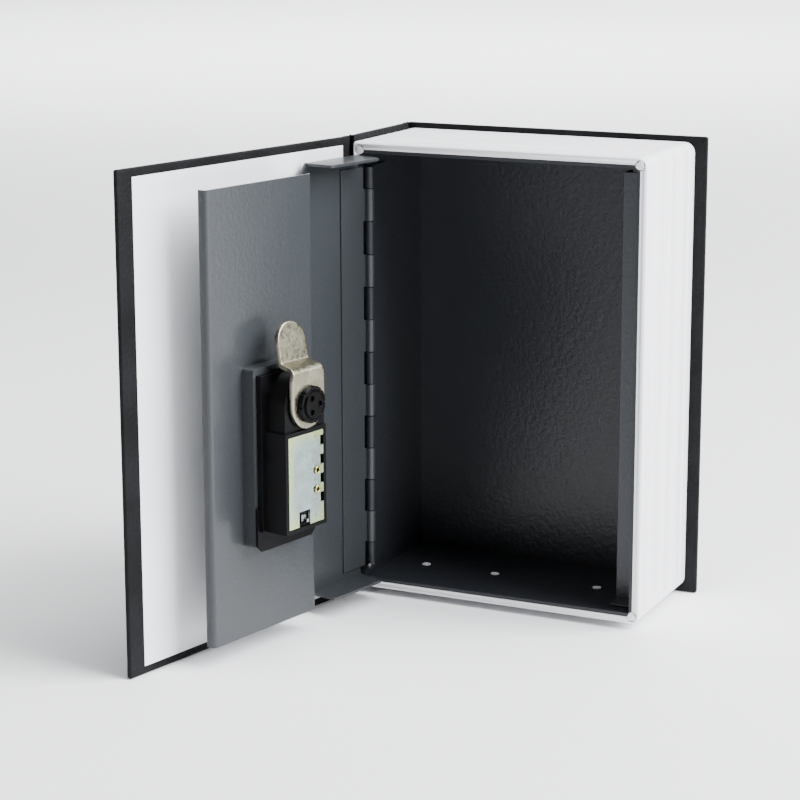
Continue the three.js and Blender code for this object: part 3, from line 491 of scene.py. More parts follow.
@dataclass(frozen=True)
class StudioFloor:
    """A pale seamless floor with a faint drift in tone."""

    base: str = "fafafa"
    drift: str = "f6f6f7"
    patch: float = 0.6
    rough: float = 0.8

    def build(self) -> Material:
        """Makes the material.

        Returns:
            The floor's finish.
        """
        g = Shader("studio_floor")
        patches = g.add(Node.NOISE, {"Vector": g.place, "Scale": per(self.patch), "Detail": 2})
        shade = g.add(Node.MIX, {0: patches, 6: linear(self.base), 7: linear(self.drift)}, **COLOURS)
        surface = g.add(Node.PRINCIPLED, {"Base Color": shade, "Roughness": self.rough})
        g.add(Node.OUTPUT, {"Surface": surface})
        return g.material


class Palette:
    """Every material of the safe, built once."""

    def __init__(self) -> None:
        """Builds the materials."""
        self.cloth = Leatherette().build()
        self.paper = Endpaper().build()
        self.pages = PagePlastic().build()
        # Each paint lists a base, its rubbed patches and its painted glints.
        # The tray's paint is the door's paint made darker: painted shade for the inside of the box.
        self.tray = StovePaint("tray_paint", "212327", "282a2e", "3a3c41", peel=0.0018).build()
        # The strike's paint is the same paint made lighter: painted light on the strike channel.
        self.strike = StovePaint("lit_strike_paint", "33363a", "3a3d41", "4c4f54").build()
        door = StovePaint("door_paint", "2d3033", "343739", "4e5256", relief=0.00012, gloss=0.45)
        self.door = door.build()
        self.black = MouldedAbs().build()
        cap = MouldedAbs("polished_abs", "020202", "040404", smooth=0.24, rough=0.34, gloss=0.09)
        self.cap = cap.build()
        self.zinc = Plating("zinc_cam", "a5a28d", "8d8976", "837d68").build()
        self.steel = Plating("drawn_steel", "a7a9ab", "8f9194", "85878a", smooth=0.2, rough=0.34).build()
        self.brass = Plating("brass", "bdb27c", "a89c62", "c8be8e").build()
        self.ink = DigitInk().build()


PALETTE = Palette()


def mesh_points(mesh: Mesh) -> np.ndarray:
    """Reads a mesh's points.

    Args:
        mesh: the mesh.

    Returns:
        One row for each point.
    """
    flat = np.empty(len(mesh.vertices) * 3)
    mesh.vertices.foreach_get("co", flat)
    return flat.reshape(-1, 3)


@dataclass(frozen=True)
class DoorPlace:
    """The open door's hinge line and its own directions."""

    pivot: np.ndarray
    along: np.ndarray
    inward: np.ndarray

    @classmethod
    def read(cls) -> "DoorPlace":
        """Reads the hinge line and the lock's axis from the joints.

        Returns:
            The door's place.
        """
        joints = {joint["name"]: joint for joint in frame["joints"]}
        inward = np.array(joints["lock_turn"]["axis"])
        along = np.array((inward[1], -inward[0], 0))
        pivot = np.array(joints["door_swing"]["pos_m"]) * (1, 1, 0)
        return cls(pivot, along, inward)

    def at(self, s: Any, n: Any, z: Any) -> np.ndarray:
        """Carries door coordinates to the frame: pivot + s along + n inward + z up.

        Args:
            s: distances from the hinge along the sheet.
            n: distances from the hinge towards the inside.
            z: heights.

        Returns:
            The points, with one more axis than the arguments.
        """
        s, n, z = np.broadcast_arrays(s, n, z)
        return self.pivot + s[..., None] * self.along + n[..., None] * self.inward + z[..., None] * UP

    def span(self, node: str) -> tuple[np.ndarray, np.ndarray]:
        """Gives the lowest and the highest s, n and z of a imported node.

        Args:
            node: the node's name.

        Returns:
            Two rows of three numbers.
        """
        points = mesh_points(frame["nodes"][node].data) - self.pivot
        local = np.stack((points @ self.along, points @ self.inward, points @ UP), axis=1)
        return local.min(0), local.max(0)


DOOR = DoorPlace.read()


def placed(name: str, data: ID) -> Object:
    """Links data to the scene as an object.

    Args:
        name: the object's name.
        data: its mesh, curve, light or camera.

    Returns:
        The object.
    """
    thing = bpy.data.objects.new(name, data)
    bpy.context.scene.collection.objects.link(thing)
    return thing


def dress(piece: Object, body: Body | str, material: Material) -> None:
    """Gives a new piece its material and the body it rides on.

    Args:
        piece: the piece.
        body: the body it follows.
        material: the finish.
    """
    piece.data.materials.clear()
    piece.data.materials.append(material)
    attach(piece, body.value if isinstance(body, Body) else body)
    LOG.info("%s: %d faces", piece.name, len(piece.data.polygons))


def tidy_mesh(mesh: Mesh, sharp: float) -> None:
    """Merges points at one place, turns the faces outwards and smooths all but the sharp edges.

    Args:
        mesh: the mesh.
        sharp: degrees from which an edge stays sharp.
    """
    grown = bmesh.new()
    grown.from_mesh(mesh)
    bmesh.ops.remove_doubles(grown, verts=grown.verts, dist=SAME_PLACE)
    bmesh.ops.recalc_face_normals(grown, faces=grown.faces)
    grown.to_mesh(mesh)
    grown.free()
    mesh.shade_smooth()
    mesh.set_sharp_from_angle(angle=math.radians(sharp))


def around(columns: int) -> np.ndarray:
    """Gives one row of angles, spread evenly round a full turn."""
    return np.linspace(0, math.tau, columns, endpoint=False)[None, :]


def skin(name: str, grid: np.ndarray, ends: bool = False, sharp: float = 40) -> Object:
    """Makes a closed surface from a grid whose rows are closed loops.

    Row i is joined to row i + 1 by four-sided faces, and point j to point j + 1 round the loop. The
    surface is closed where its first and last rows meet or shrink to a point, or by flat faces.

    Args:
        name: the piece's name.
        grid: rows by columns by three coordinates.
        ends: whether flat faces shut the first and the last row.
        sharp: degrees from which an edge stays sharp.

    Returns:
        The piece.
    """
    rows, columns = grid.shape[:2]
    index = np.arange(rows * columns).reshape(rows, columns)
    after = np.roll(index, -1, axis=1)
    faces = np.stack((index[:-1], after[:-1], after[1:], index[1:]), axis=-1).reshape(-1, 4).tolist()
    if ends:
        faces += [index[0][::-1].tolist(), index[-1].tolist()]
    mesh = bpy.data.meshes.new(name)
    mesh.from_pydata(grid.reshape(-1, 3).tolist(), [], faces)
    tidy_mesh(mesh, sharp)
    return placed(name, mesh)


def redraw(node: str, ease: float, steps: int = 2, angle: float = 40) -> Object:
    """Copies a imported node, merges its points and eases its edges.

    Args:
        node: the node's name.
        ease: width of an eased edge, or zero for sharp edges.
        steps: faces across an eased edge.
        angle: degrees from which an edge is eased or stays sharp.

    Returns:
        The copy, which stands for the node.
    """
    mesh = bpy.data.meshes.new(f"{node}_look")
    grown = bmesh.new()
    grown.from_mesh(frame["nodes"][node].data)
    bmesh.ops.remove_doubles(grown, verts=grown.verts, dist=MERGE)
    bmesh.ops.dissolve_limit(grown, angle_limit=FLAT, verts=grown.verts, edges=grown.edges)
    grown.to_mesh(mesh)
    grown.free()
    mesh.shade_smooth()
    piece = placed(f"{node}_look", mesh)
    if ease > 0:
        bevel = piece.modifiers.new("eased_edges", "BEVEL")
        bevel.width = ease
        bevel.segments = steps
        bevel.limit_method = "ANGLE"
        bevel.angle_limit = math.radians(angle)
        bevel.use_clamp_overlap = True
        shading = piece.modifiers.new("even_shading", "WEIGHTED_NORMAL")
        shading.keep_sharp = True
    else:
        mesh.set_sharp_from_angle(angle=math.radians(angle))
    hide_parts(node)
    return piece


@dataclass(frozen=True)
class GrooveCloth:
    """The cloth that crosses a groove of the book case, as bent strips that run from tail to head."""

    thickness: float = 0.0003
    depth: float = 0.0007
    lap: float = 0.0011
    lift: float = 0.00004
    steps: int = 36
    rows: int = 61
    sway: float = 0.00012
    wave: float = 0.04
    orders: int = 5

    @property
    def rise(self) -> float:
        """Distance of the cloth's middle from the face that it lies on."""
        return self.lift + self.thickness / 2

    def waviness(self, heights: np.ndarray, seed: int) -> np.ndarray:
        """Sums sines of the height, each shorter and lower than the last, with drawn phases.

        Args:
            heights: where the sum is taken.
            seed: which phases are drawn.

        Returns:
            One share for each height, from about -1 to 1.
        """
        phases = np.random.default_rng(seed).uniform(0, math.tau, self.orders)
        orders = np.arange(1, self.orders + 1)
        return (np.sin(heights[:, None] / self.wave * orders + phases) / orders).sum(axis=1) / 2

    def strip(self, name: str, route: np.ndarray, dips: np.ndarray, seed: int) -> Object:
        """Makes a strip along a route in plan.

        The middle line is the route pushed towards +X by the dips, which sway with the height. The two
        faces lie half a thickness to each side of it.

        Args:
            name: the piece's name.
            route: points in X and Y.
            dips: how far each point is pushed.
            seed: which waviness the dips get.

        Returns:
            The strip.
        """
        low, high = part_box("spine_board")
        heights = np.linspace(low[2], high[2], self.rows)
        line = route + dips[:, None] * (1, 0)
        slope = np.gradient(line, axis=0)
        across = np.stack((-slope[:, 1], slope[:, 0]), axis=1)
        across /= np.linalg.norm(across, axis=1)[:, None]
        half = across * self.thickness / 2
        loop = np.concatenate((line + half, (line - half)[::-1]))
        share = np.concatenate((dips, dips[::-1])) / self.depth
        grid = np.empty((self.rows, len(loop), 3))
        grid[..., 0] = loop[:, 0] + self.sway * self.waviness(heights, seed)[:, None] * share
        grid[..., 1] = loop[:, 1]
        grid[..., 2] = heights[:, None]
        return skin(name, grid, ends=True)

    def dips(self, steps: np.ndarray, start: float, end: float) -> np.ndarray:
        """Works out the groove's depth: a squared half sine between its two edges.

        Args:
            steps: lengths along the route.
            start: where the groove starts.
            end: where it ends.

        Returns:
            The depth at each length.
        """
        share = np.clip((steps - start) / (end - start), 0, 1)
        return self.depth * np.sin(math.pi * share) ** 2


@dataclass(frozen=True)
class BookCase:
    """The cloth-covered boards, the grooves between them and the paper on the front board."""

    board_edge: float = 0.0006
    board_steps: int = 4
    paper_edge: float = 0.00006
    fold_share: float = 0.15
    middle: float = 0.09
    rear_seed: int = 3
    front_seed: int = 5
    cloth: GrooveCloth = GrooveCloth()

    def build(self) -> None:
        """Builds the book case."""
        boards = {"back_cover": Body.CASE, "spine_board": Body.CASE, "front_cover": Body.BOARD}
        for node, body in boards.items():
            dress(redraw(node, self.board_edge, self.board_steps), body, PALETTE.cloth)
        dress(redraw("front_endpaper", self.paper_edge), Body.BOARD, PALETTE.paper)
        self.rear_groove()
        self.front_groove()

    def rear_groove(self) -> None:
        """Lays cloth from the spine board straight over the groove to the back board."""
        spine_low, spine_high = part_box("spine_board")
        back_low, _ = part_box("back_cover")
        y = np.linspace(spine_high[1] - self.cloth.lap, back_low[1] + self.cloth.lap, self.cloth.steps)
        route = np.stack((np.full_like(y, spine_low[0] - self.cloth.rise), y), axis=1)
        dips = self.cloth.dips(y, spine_high[1], back_low[1])
        piece = self.cloth.strip("rear_groove_cloth", route, dips, self.rear_seed)
        dress(piece, Body.CASE, PALETTE.cloth)
        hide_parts("rear_joint_strip")

    def front_groove(self) -> None:
        """Lays cloth over the front groove, in two strips that overlap and fold at its two edges."""
        cloth = self.cloth
        spine_low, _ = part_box("spine_board")
        board_low, _ = DOOR.span("front_cover")
        spine_edge = np.array((spine_low[0] - cloth.rise, spine_low[1]))
        board_edge = DOOR.at(board_low[0], board_low[1] - cloth.rise, 0.0)[:2]
        lap_end = DOOR.at(board_low[0] + cloth.lap, board_low[1] - cloth.rise, 0.0)[:2]
        corners = np.array((spine_edge + (0, cloth.lap), spine_edge, board_edge, lap_end))
        runs = np.linalg.norm(np.diff(corners, axis=0), axis=1)
        ends = np.concatenate(((0,), np.cumsum(runs)))
        steps = np.linspace(0, ends[-1], 2 * cloth.steps)
        route = np.stack([np.interp(steps, ends, corners[:, i]) for i in (0, 1)], axis=1)
        dips = cloth.dips(steps, ends[1], ends[2])
        first, second = slice(cloth.steps + 1), slice(cloth.steps - 1, None)
        spine_cloth = cloth.strip("spine_groove_cloth", route[first], dips[first], self.front_seed)
        board_cloth = cloth.strip("board_groove_cloth", route[second], dips[second], self.front_seed)
        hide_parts("front_joint_strip")
        fold = (board_edge - spine_edge) * self.fold_share
        for piece, near, far, start, end in (
            (spine_cloth, Body.CASE, Body.GROOVE, spine_edge, spine_edge + fold),
            (board_cloth, Body.GROOVE, Body.BOARD, board_edge - fold, board_edge),
        ):
            piece.data.materials.append(PALETTE.cloth)
            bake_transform(piece)
            LOG.info("%s: %d faces", piece.name, len(piece.data.polygons))


@dataclass(frozen=True)
class PageBlock:
    """The moulded page block with its page lines."""

    crease: float = 34

    def build(self) -> None:
        """Builds the page block."""
        piece = redraw("page_block", 0, angle=self.crease)
        dress(piece, Body.CASE, PALETTE.pages)


@dataclass(frozen=True)
class ReliefFilm:
    """Dark film on the page block's wall, where the tray is cut away behind the knuckles."""

    wall: float = 0.00279
    gap: float = 0.00003
    thickness: float = 0.00004
    width: float = 0.0045
    wrap: float = 0.0006
    margin: float = 0.0036

    def build(self) -> None:
        """Builds the film: an L seen from above, along the wall's inside and round its front edge."""
        block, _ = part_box("page_block")
        low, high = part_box("steel_tray")
        x, y = block[0] + self.wall + self.gap, block[1] - self.gap
        inner, front = x + self.thickness, y - self.thickness
        end, back = x - self.wrap, y + self.width
        corners = ((end, y), (end, front), (inner, front), (inner, back), (x, back), (x, y))
        grid = np.empty((2, len(corners), 3))
        grid[..., :2] = corners
        grid[..., 2] = ((low[2] + self.margin,), (high[2] - self.margin,))
        # The film wears the tray's darkened paint, as painted shade over the white wall behind the
        # knuckles.
        dress(skin("hinge_relief_film", grid, ends=True), Body.CASE, PALETTE.tray)


@dataclass(frozen=True)
class CornerSeal:
    """A flat white lump in the page block's plastic, in front of one of the tray's corner beads."""

    radius: float = 0.00168
    depth: float = 0.00025
    lobes: int = 3
    swing: float = 0.08
    crease: float = 80
    rows: int = 16
    columns: int = 36

    def build(self, number: int, x: float, y: float, z: float) -> None:
        """Builds a lump: a flat ball, whose radius swings with a sine of the angle round it.

        Args:
            number: which lump it is, which also turns its lobes.
            x: the bead's place across the book.
            y: the front of the bead.
            z: the bead's height.
        """
        polar = np.linspace(0, math.pi, self.rows)[:, None]
        turn = around(self.columns)
        lobes = self.swing * np.sin(self.lobes * turn + number) * np.sin(polar) ** 2
        reach = self.radius * (1 + lobes) * np.sin(polar)
        grid = np.empty((self.rows, self.columns, 3))
        grid[..., 0] = x + reach * np.cos(turn)
        grid[..., 1] = y - self.depth * np.cos(polar)
        grid[..., 2] = z + reach * np.sin(turn)
        piece = skin(f"white_corner_lump_{number}", grid, sharp=self.crease)
        dress(piece, Body.CASE, PALETTE.pages)


@dataclass(frozen=True)
class CashBox:
    """The painted tray, its strike channel and hinge leaf, and the dark film and white lumps round them.
    """

    tray_edge: float = 0.0002
    strike_edge: float = 0.0003
    leaf_edge: float = 0.0001
    bead: float = 0.0016
    film: ReliefFilm = ReliefFilm()
    seal: CornerSeal = CornerSeal()

    def build(self) -> None:
        """Builds the box."""
        # Tray, leaf and pin wear the darkened paint (painted shade), the strike the lightened (painted
        # light).
        dress(redraw("steel_tray", self.tray_edge), Body.CASE, PALETTE.tray)
        dress(redraw("strike_channel", self.strike_edge), Body.CASE, PALETTE.strike)
        dress(redraw("tray_hinge_leaf", self.leaf_edge), Body.CASE, PALETTE.tray)
        dress(redraw("hinge_pin", self.leaf_edge), Body.CASE, PALETTE.tray)
        self.film.build()
        low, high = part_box("steel_tray")
        sides, levels = ((low[i] + self.bead, high[i] - self.bead) for i in (0, 2))
        for number, (x, z) in enumerate(product(sides, levels), start=1):
            self.seal.build(number, x, low[1], z)


@dataclass(frozen=True)
class TackWeld:
    """A lump of weld that holds the hinge leaf's foot to the door."""

    radius: float = 0.0012
    flatness: float = 0.75
    s: float = 0.0027
    n: float = 0.0012
    bumps: float = 0.12
    lobes: tuple[int, int, int] = (3, 2, 5)
    crease: float = 80
    rows: int = 20
    columns: int = 32

    def build(self) -> None:
        """Builds the lump: a flattened ball whose radius swings with sines of its two angles."""
        foot = DOOR.span("door_hinge_leaf")[0][2]
        polar = np.linspace(0, math.pi, self.rows)[:, None]
        turn = around(self.columns)
        wide, tall, small = self.lobes
        coarse = np.sin(wide * turn + tall * polar) * np.sin(tall * polar)
        lumps = coarse + np.sin(small * turn) * np.sin(polar) ** 2 / 2
        radius = self.radius * (1 + self.bumps * lumps * np.sin(polar))
        s = self.s + radius * np.sin(polar) * np.cos(turn)
        z = foot + radius * np.sin(polar) * np.sin(turn)
        n = self.n + self.flatness * radius * np.cos(polar)
        piece = skin("hinge_tack_weld", DOOR.at(s, n, z), sharp=self.crease)
        dress(piece, Body.DOOR, PALETTE.door)


@dataclass(frozen=True)
class Door:
    """The stepped door sheet and its hinge leaf."""

    sheet_edge: float = 0.0005
    sheet_steps: int = 3
    leaf_edge: float = 0.0001
    weld: TackWeld = TackWeld()

    def build(self) -> None:
        """Builds the door."""
        dress(redraw("door_panel", self.sheet_edge, self.sheet_steps), Body.DOOR, PALETTE.door)
        dress(redraw("door_hinge_leaf", self.leaf_edge), Body.DOOR, PALETTE.door)
        self.weld.build()


@dataclass(frozen=True)
class Eyelet:
    """A rolled brass eyelet: a shank through the plate under a half-round rim."""

    shank: float = 0.0011
    bore: float = 0.0008
    columns: int = 40
    rows: int = 18

    def build(self, node: str) -> None:
        """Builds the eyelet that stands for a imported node.

        Radius and height follow a closed loop: half a circle over the rim, down the bore and up the shank.

        Args:
            node: the node's name.
        """
        low, high = DOOR.span(node)
        axis = (low + high) / 2
        outer = (high[0] - low[0]) / 2
        roll = (outer - self.bore) / 2
        swing = np.linspace(0, math.pi, self.rows)
        shoulder = high[1] - roll
        rim = outer - roll + roll * np.cos(swing)
        crest = shoulder + roll * np.sin(swing)
        radius = np.concatenate((rim, (self.bore, self.shank, self.shank, outer)))[:, None]
        n = np.concatenate((crest, (low[1], low[1], shoulder, shoulder)))[:, None]
        turn = around(self.columns)
        grid = DOOR.at(axis[0] + radius * np.cos(turn), n, axis[2] + radius * np.sin(turn))
        piece = skin(f"{node}_look", grid)
        dress(piece, Body.DOOR, PALETTE.brass)
        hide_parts(node)


@dataclass(frozen=True)
class Dial:
    """A code dial: a ring with finger grooves round its rim and a digit on every second land."""

    order: int
    digits: int = 10
    grooves: int = 20
    groove: float = 0.0004
    groove_share: float = 1 / 3
    bore: float = 0.004
    edge: float = 0.0004
    columns: int = 320
    digit_height: float = 0.0028
    digit_proud: float = 0.00008
    digit_crease: float = 30
    cap_share: float = 0.73
    half_bevel: float = 1 - math.sqrt(0.5)

    def build(self) -> None:
        """Builds the dial.

        Rows run from the bore over the head face, round the eased rim, under the tail face and up the
        bore. The rim's radius falls in each groove by the square root of a tent shape.
        """
        node = f"dial_{self.order}"
        low, high = DOOR.span(node)
        axis = (low + high) / 2
        reach = (high[0] - low[0]) / 2
        turn = around(self.columns)
        phase = np.mod(turn * self.grooves / math.tau, 1)
        tent = np.clip(1 - 2 * np.abs(phase - 0.5) / self.groove_share, 0, 1)
        rim = reach - self.groove * np.sqrt(tent)
        inset = self.edge * np.array((1, self.half_bevel, 0))
        flat = np.zeros((1, self.columns)) + self.bore
        radius = np.concatenate((flat, rim - inset[:, None], rim - inset[::-1, None], flat, flat))
        head = high[2] - inset[::-1]
        tail = low[2] + inset
        z = np.concatenate(((high[2],), head, tail, (low[2], high[2])))[:, None]
        grid = DOOR.at(axis[0] + radius * np.sin(turn), axis[1] - radius * np.cos(turn), z)
        piece = skin(f"{node}_look", grid)
        dress(piece, f"dial_wheel_{self.order}", PALETTE.black)
        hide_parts(node)
        self.number(axis, reach)

    def number(self, axis: np.ndarray, reach: float) -> None:
        """Puts the ten digits round the rim as one piece.

        Args:
            axis: the dial's middle, as s, n and z.
            reach: the rim's radius.
        """
        marks = [self.digit(value, axis, reach) for value in range(self.digits)]
        starts = np.cumsum([0, *(len(points) for points, _ in marks)])
        faces = []
        for start, (_, group) in zip(starts.tolist(), marks):
            faces += [[start + i for i in face] for face in group]
        mesh = bpy.data.meshes.new(f"dial_{self.order}_digits")
        mesh.from_pydata(np.concatenate([points for points, _ in marks]).tolist(), [], faces)
        tidy_mesh(mesh, self.digit_crease)
        piece = placed(mesh.name, mesh)
        dress(piece, f"dial_wheel_{self.order}", PALETTE.ink)

    def digit(self, value: int, axis: np.ndarray, reach: float) -> tuple[np.ndarray, list]:
        """Wraps a digit round the rim: its width becomes an angle, its height stays a height.

        Args:
            value: the digit.
            axis: the dial's middle, as s, n and z.
            reach: the rim's radius.

        Returns:
            The digit's points and faces.
        """
        text = bpy.data.curves.new("digit", "FONT")
        text.body = str(value)
        text.size = self.digit_height / self.cap_share
        text.align_x = "CENTER"
        text.extrude = self.digit_proud
        shown = placed("digit", text)
        flat = bpy.data.meshes.new_from_object(shown.evaluated_get(bpy.context.evaluated_depsgraph_get()))
        points = mesh_points(flat)
        faces = [list(face.vertices) for face in flat.polygons]
        bpy.data.objects.remove(shown)
        bpy.data.curves.remove(text)
        bpy.data.meshes.remove(flat)
        tall = points[:, 1] - (points[:, 1].min() + points[:, 1].max()) / 2
        angle = value * math.tau / self.digits + points[:, 0] / reach
        radius = reach + points[:, 2]
        s = axis[0] + radius * np.sin(angle)
        return DOOR.at(s, axis[1] - radius * np.cos(angle), axis[2] + tall), faces


@dataclass(frozen=True)
class Lock:
    """The combination lock on the door: housing, bezel, plate, dials and what they hide."""

    housing_edge: float = 0.0003
    housing_steps: int = 3
    lever_edge: float = 0.0002
    dials: int = 4

    def build(self) -> None:
        """Builds the lock."""
        housing = redraw("lock_housing", self.housing_edge, self.housing_steps)
        dress(housing, Body.DOOR, PALETTE.black)
        dress(redraw("lock_bezel", self.housing_edge), Body.DOOR, PALETTE.black)
        dress(redraw("lock_back_plate", 0), Body.DOOR, self.plate_finish())
        dress(redraw("change_lever", self.lever_edge), Body.LEVER, PALETTE.steel)
        for node in ("eyelet_lower", "eyelet_upper"):
            Eyelet().build(node)
        for order in range(1, self.dials + 1):
            Dial(order).build()
            self.keep(f"dial_sleeve_{order}", PALETTE.brass)
        for node in ("dial_shaft", "detent_spring", "fence_bar"):
            self.keep(node, PALETTE.steel)

    def plate_finish(self) -> Material:
        """Makes the back plate's finish, centred on the plate and turned with the door.

        Returns:
            The finish.
        """
        low, high = DOOR.span("lock_back_plate")
        middle = DOOR.at(*(low + high) / 2)
        half = (high - low) / 2
        turn = math.atan2(DOOR.along[1], DOOR.along[0])
        tones = ("a9bcb9", "9aaca6", "c3d0cc")
        place = {"middle": tuple(middle), "turn": turn, "half": tuple(half)}
        return ChromatedPlate("zinc_plate", *tones, run=(1, 0.06, 1), **place).build()

    def keep(self, node: str, material: Material) -> None:
        """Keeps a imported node's own mesh and gives it a finish.

        Args:
            node: the node's name.
            material: the finish.
        """
        shown = frame["nodes"][node]
        shown.data.materials.clear()
        shown.data.materials.append(material)
        LOG.info("%s: kept", node)


@dataclass(frozen=True)
class Cam:
    """The plated cam: a round-ended plate with a step, whose edges are tumbled round."""

    width: float = 0.0176
    thickness: float = 0.0019
    reach: float = 0.0287
    step_start: float = 0.0123
    step_run: float = 0.0018
    step_drop: float = 0.0062
    tip_drop: float = 0.0026
    tip_radius: float = 0.0076
    bend: float = 0.0007
    taper_start: float = 0.0085
    taper_end: float = 0.0155
    edge: float = 0.00045
    heart_share: float = 0.8
    crease: float = 60
    corner_rows: int = 6
    rows: int = 72
    arc: int = 56
    samples: int = 800

    def middle_line(self) -> tuple[np.ndarray, np.ndarray, np.ndarray, np.ndarray]:
        """Works out the bent middle line: straight stretches joined by an arc at each bend.

        Returns:
            Lengths along the line, and for each the height above the axis, the depth and the slope.
        """
        tip_run = self.reach - self.step_start - self.step_run
        step_slope = math.atan2(-self.step_drop, self.step_run)
        tip_slope = math.atan2(-self.tip_drop, tip_run)
        radius = self.bend + self.thickness / 2
        first = radius * math.tan(-step_slope / 2)
        second = radius * math.tan((tip_slope - step_slope) / 2)
        step = math.hypot(self.step_run, self.step_drop)
        tip = math.hypot(tip_run, self.tip_drop)
        down, back = radius * -step_slope, radius * (tip_slope - step_slope)
        ends = np.cumsum((self.step_start - first, down, step - first - second, back, tip - second))
        lengths = np.linspace(-self.width / 2, ends[-1], self.samples)
        slopes = np.interp(lengths, ends[:-1], (0, step_slope, step_slope, tip_slope))
        stride = lengths[1] - lengths[0]
        height = lengths[0] + stride * np.concatenate(((0,), np.cumsum(np.cos(slopes[:-1]))))
        depth = stride * np.concatenate(((0,), np.cumsum(np.sin(slopes[:-1]))))
        return lengths, height, depth, slopes

    def outline(self, length: float) -> np.ndarray:
        """Draws the flat plate's outline: two round ends joined by sides that draw in at the step.

        Args:
            length: the flat plate's length above the axis.

        Returns:
            Points across and along, anticlockwise.
        """
        half = self.width / 2
        low = np.linspace(math.pi, math.tau, self.arc)
        high = np.linspace(0, math.pi, self.arc)
        shoulder = length - self.tip_radius
        up = np.linspace(0, shoulder, self.arc)[1:-1]
        share = np.clip((up - self.taper_start) / (self.taper_end - self.taper_start), 0, 1)
        side = half + (self.tip_radius - half) * share * share * (3 - 2 * share)
        right = np.stack((side, up), axis=1)
        foot = half * np.stack((np.cos(low), np.sin(low)), axis=1)
        tip = self.tip_radius * np.stack((np.cos(high), np.sin(high)), axis=1) + (0, shoulder)
        return np.concatenate((foot, right, tip, (right * (-1, 1))[::-1]))

    def build(self) -> None:
        """Builds the cam.

        Rows run from the middle of one face to the rim, round the rim on a quarter circle at each side,
        and back to the middle of the other face. Each flat point is then carried onto the bent line.
        """
        lengths, height, depth, slopes = self.middle_line()
        rim = self.outline(lengths[-1])
        ahead = np.roll(rim, -1, axis=0) - np.roll(rim, 1, axis=0)
        outward = np.stack((ahead[:, 1], -ahead[:, 0]), axis=1)
        outward /= np.linalg.norm(outward, axis=1)[:, None]
        heart = np.array((0, self.step_start * self.heart_share))
        inner = rim - outward * self.edge
        face = heart + np.linspace(0, 1, self.rows)[:, None, None] * (inner - heart)
        swing = np.linspace(0, QUARTER_TURN, self.corner_rows)[1:, None, None]
        corner = inner + outward * self.edge * np.sin(swing)
        top = self.thickness / 2
        corner_top = (top - self.edge + self.edge * np.cos(swing))[:, 0, 0]
        lift = np.concatenate((np.full(self.rows, top), corner_top))
        plan = np.concatenate((face, corner, corner[::-1], face[::-1]))
        lift = np.concatenate((lift, -lift[::-1]))[:, None]
        slope = np.interp(plan[..., 1], lengths, slopes)
        low, high = DOOR.span("spindle")
        axis = (low + high) / 2
        outside = DOOR.span("cam_lever")[1][1] - self.thickness / 2
        z = axis[2] + np.interp(plan[..., 1], lengths, height) - lift * np.sin(slope)
        n = outside + np.interp(plan[..., 1], lengths, depth) + lift * np.cos(slope)
        piece = skin("cam_lever_look", DOOR.at(axis[0] + plan[..., 0], n, z), sharp=self.crease)
        dress(piece, Body.CAM, PALETTE.zinc)
        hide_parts("cam_lever")


@dataclass(frozen=True)
class Cap:
    """The black cap on the cam: a notched rim, a ring groove, and a hub with three pockets."""

    notches: int = 8
    notch: float = 0.0005
    notch_from: float = 0.86
    notch_slope: float = 14
    rim_height: float = 0.0019
    ring_inner: float = 0.0047
    ring_outer: float = 0.0053
    ring_depth: float = 0.0009
    pockets: int = 3
    pocket_ring: float = 0.0029
    pocket_radius: float = 0.00115
    pocket_depth: float = 0.001
    wall: float = 0.00022
    crease: float = 50
    rows: int = 96
    columns: int = 224

    def relief(self, radius: np.ndarray, turn: np.ndarray, top: float) -> np.ndarray:
        """Gives the face's height: the hub, less the ring groove and the round pockets, with soft walls.

        Args:
            radius: distances from the axis.
            turn: angles round the axis.
            top: the hub's height.

        Returns:
            The heights.
        """
        into_ring = np.clip((radius - self.ring_inner) / self.wall, 0, 1)
        out_of_ring = np.clip((radius - self.ring_outer) / self.wall, 0, 1)
        climb = self.ring_depth + self.rim_height - top
        height = top - self.ring_depth * into_ring + climb * out_of_ring
        for k in range(self.pockets):
            angle = math.pi + math.tau * k / self.pockets
            away = np.hypot(
                radius * np.cos(turn) - self.pocket_ring * math.cos(angle),
                radius * np.sin(turn) - self.pocket_ring * math.sin(angle),
            )
            height = height - self.pocket_depth * np.clip((self.pocket_radius - away) / self.wall, 0, 1)
        return height

    def build(self) -> None:
        """Builds the cap: rows run out over the face, down the notched rim and in under it."""
        low, high = DOOR.span("cam_cap")
        axis = (low + high) / 2
        full = (high[0] - low[0]) / 2
        turn = around(self.columns)
        crest = np.cos(turn * self.notches) - self.notch_from
        edge = full - self.notch * np.clip(crest * self.notch_slope, 0, 1)
        radius = np.linspace(0, 1, self.rows)[:, None] * (edge - self.wall)
        face = self.relief(radius, turn, high[1] - low[1])
        shoulder = np.zeros_like(edge) + self.rim_height - self.wall
        floor = np.zeros_like(edge)
        radii = np.concatenate((radius, edge, edge, floor))
        n = low[1] + np.concatenate((face, shoulder, floor, floor))
        grid = DOOR.at(axis[0] + radii * np.cos(turn), n, axis[2] + radii * np.sin(turn))
        piece = skin("cam_cap_look", grid, sharp=self.crease)
        dress(piece, Body.CAM, PALETTE.cap)
        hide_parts("cam_cap")


@dataclass(frozen=True)
class Knob:
    """The ribbed knob outside the door and the spindle behind it."""

    edge: float = 0.0004
    edge_steps: int = 3
    spindle_edge: float = 0.0002

    def build(self) -> None:
        """Builds the knob and the spindle."""
        dress(redraw("knob", self.edge, self.edge_steps), Body.CAM, PALETTE.black)
        dress(redraw("spindle", self.spindle_edge), Body.CAM, PALETTE.steel)


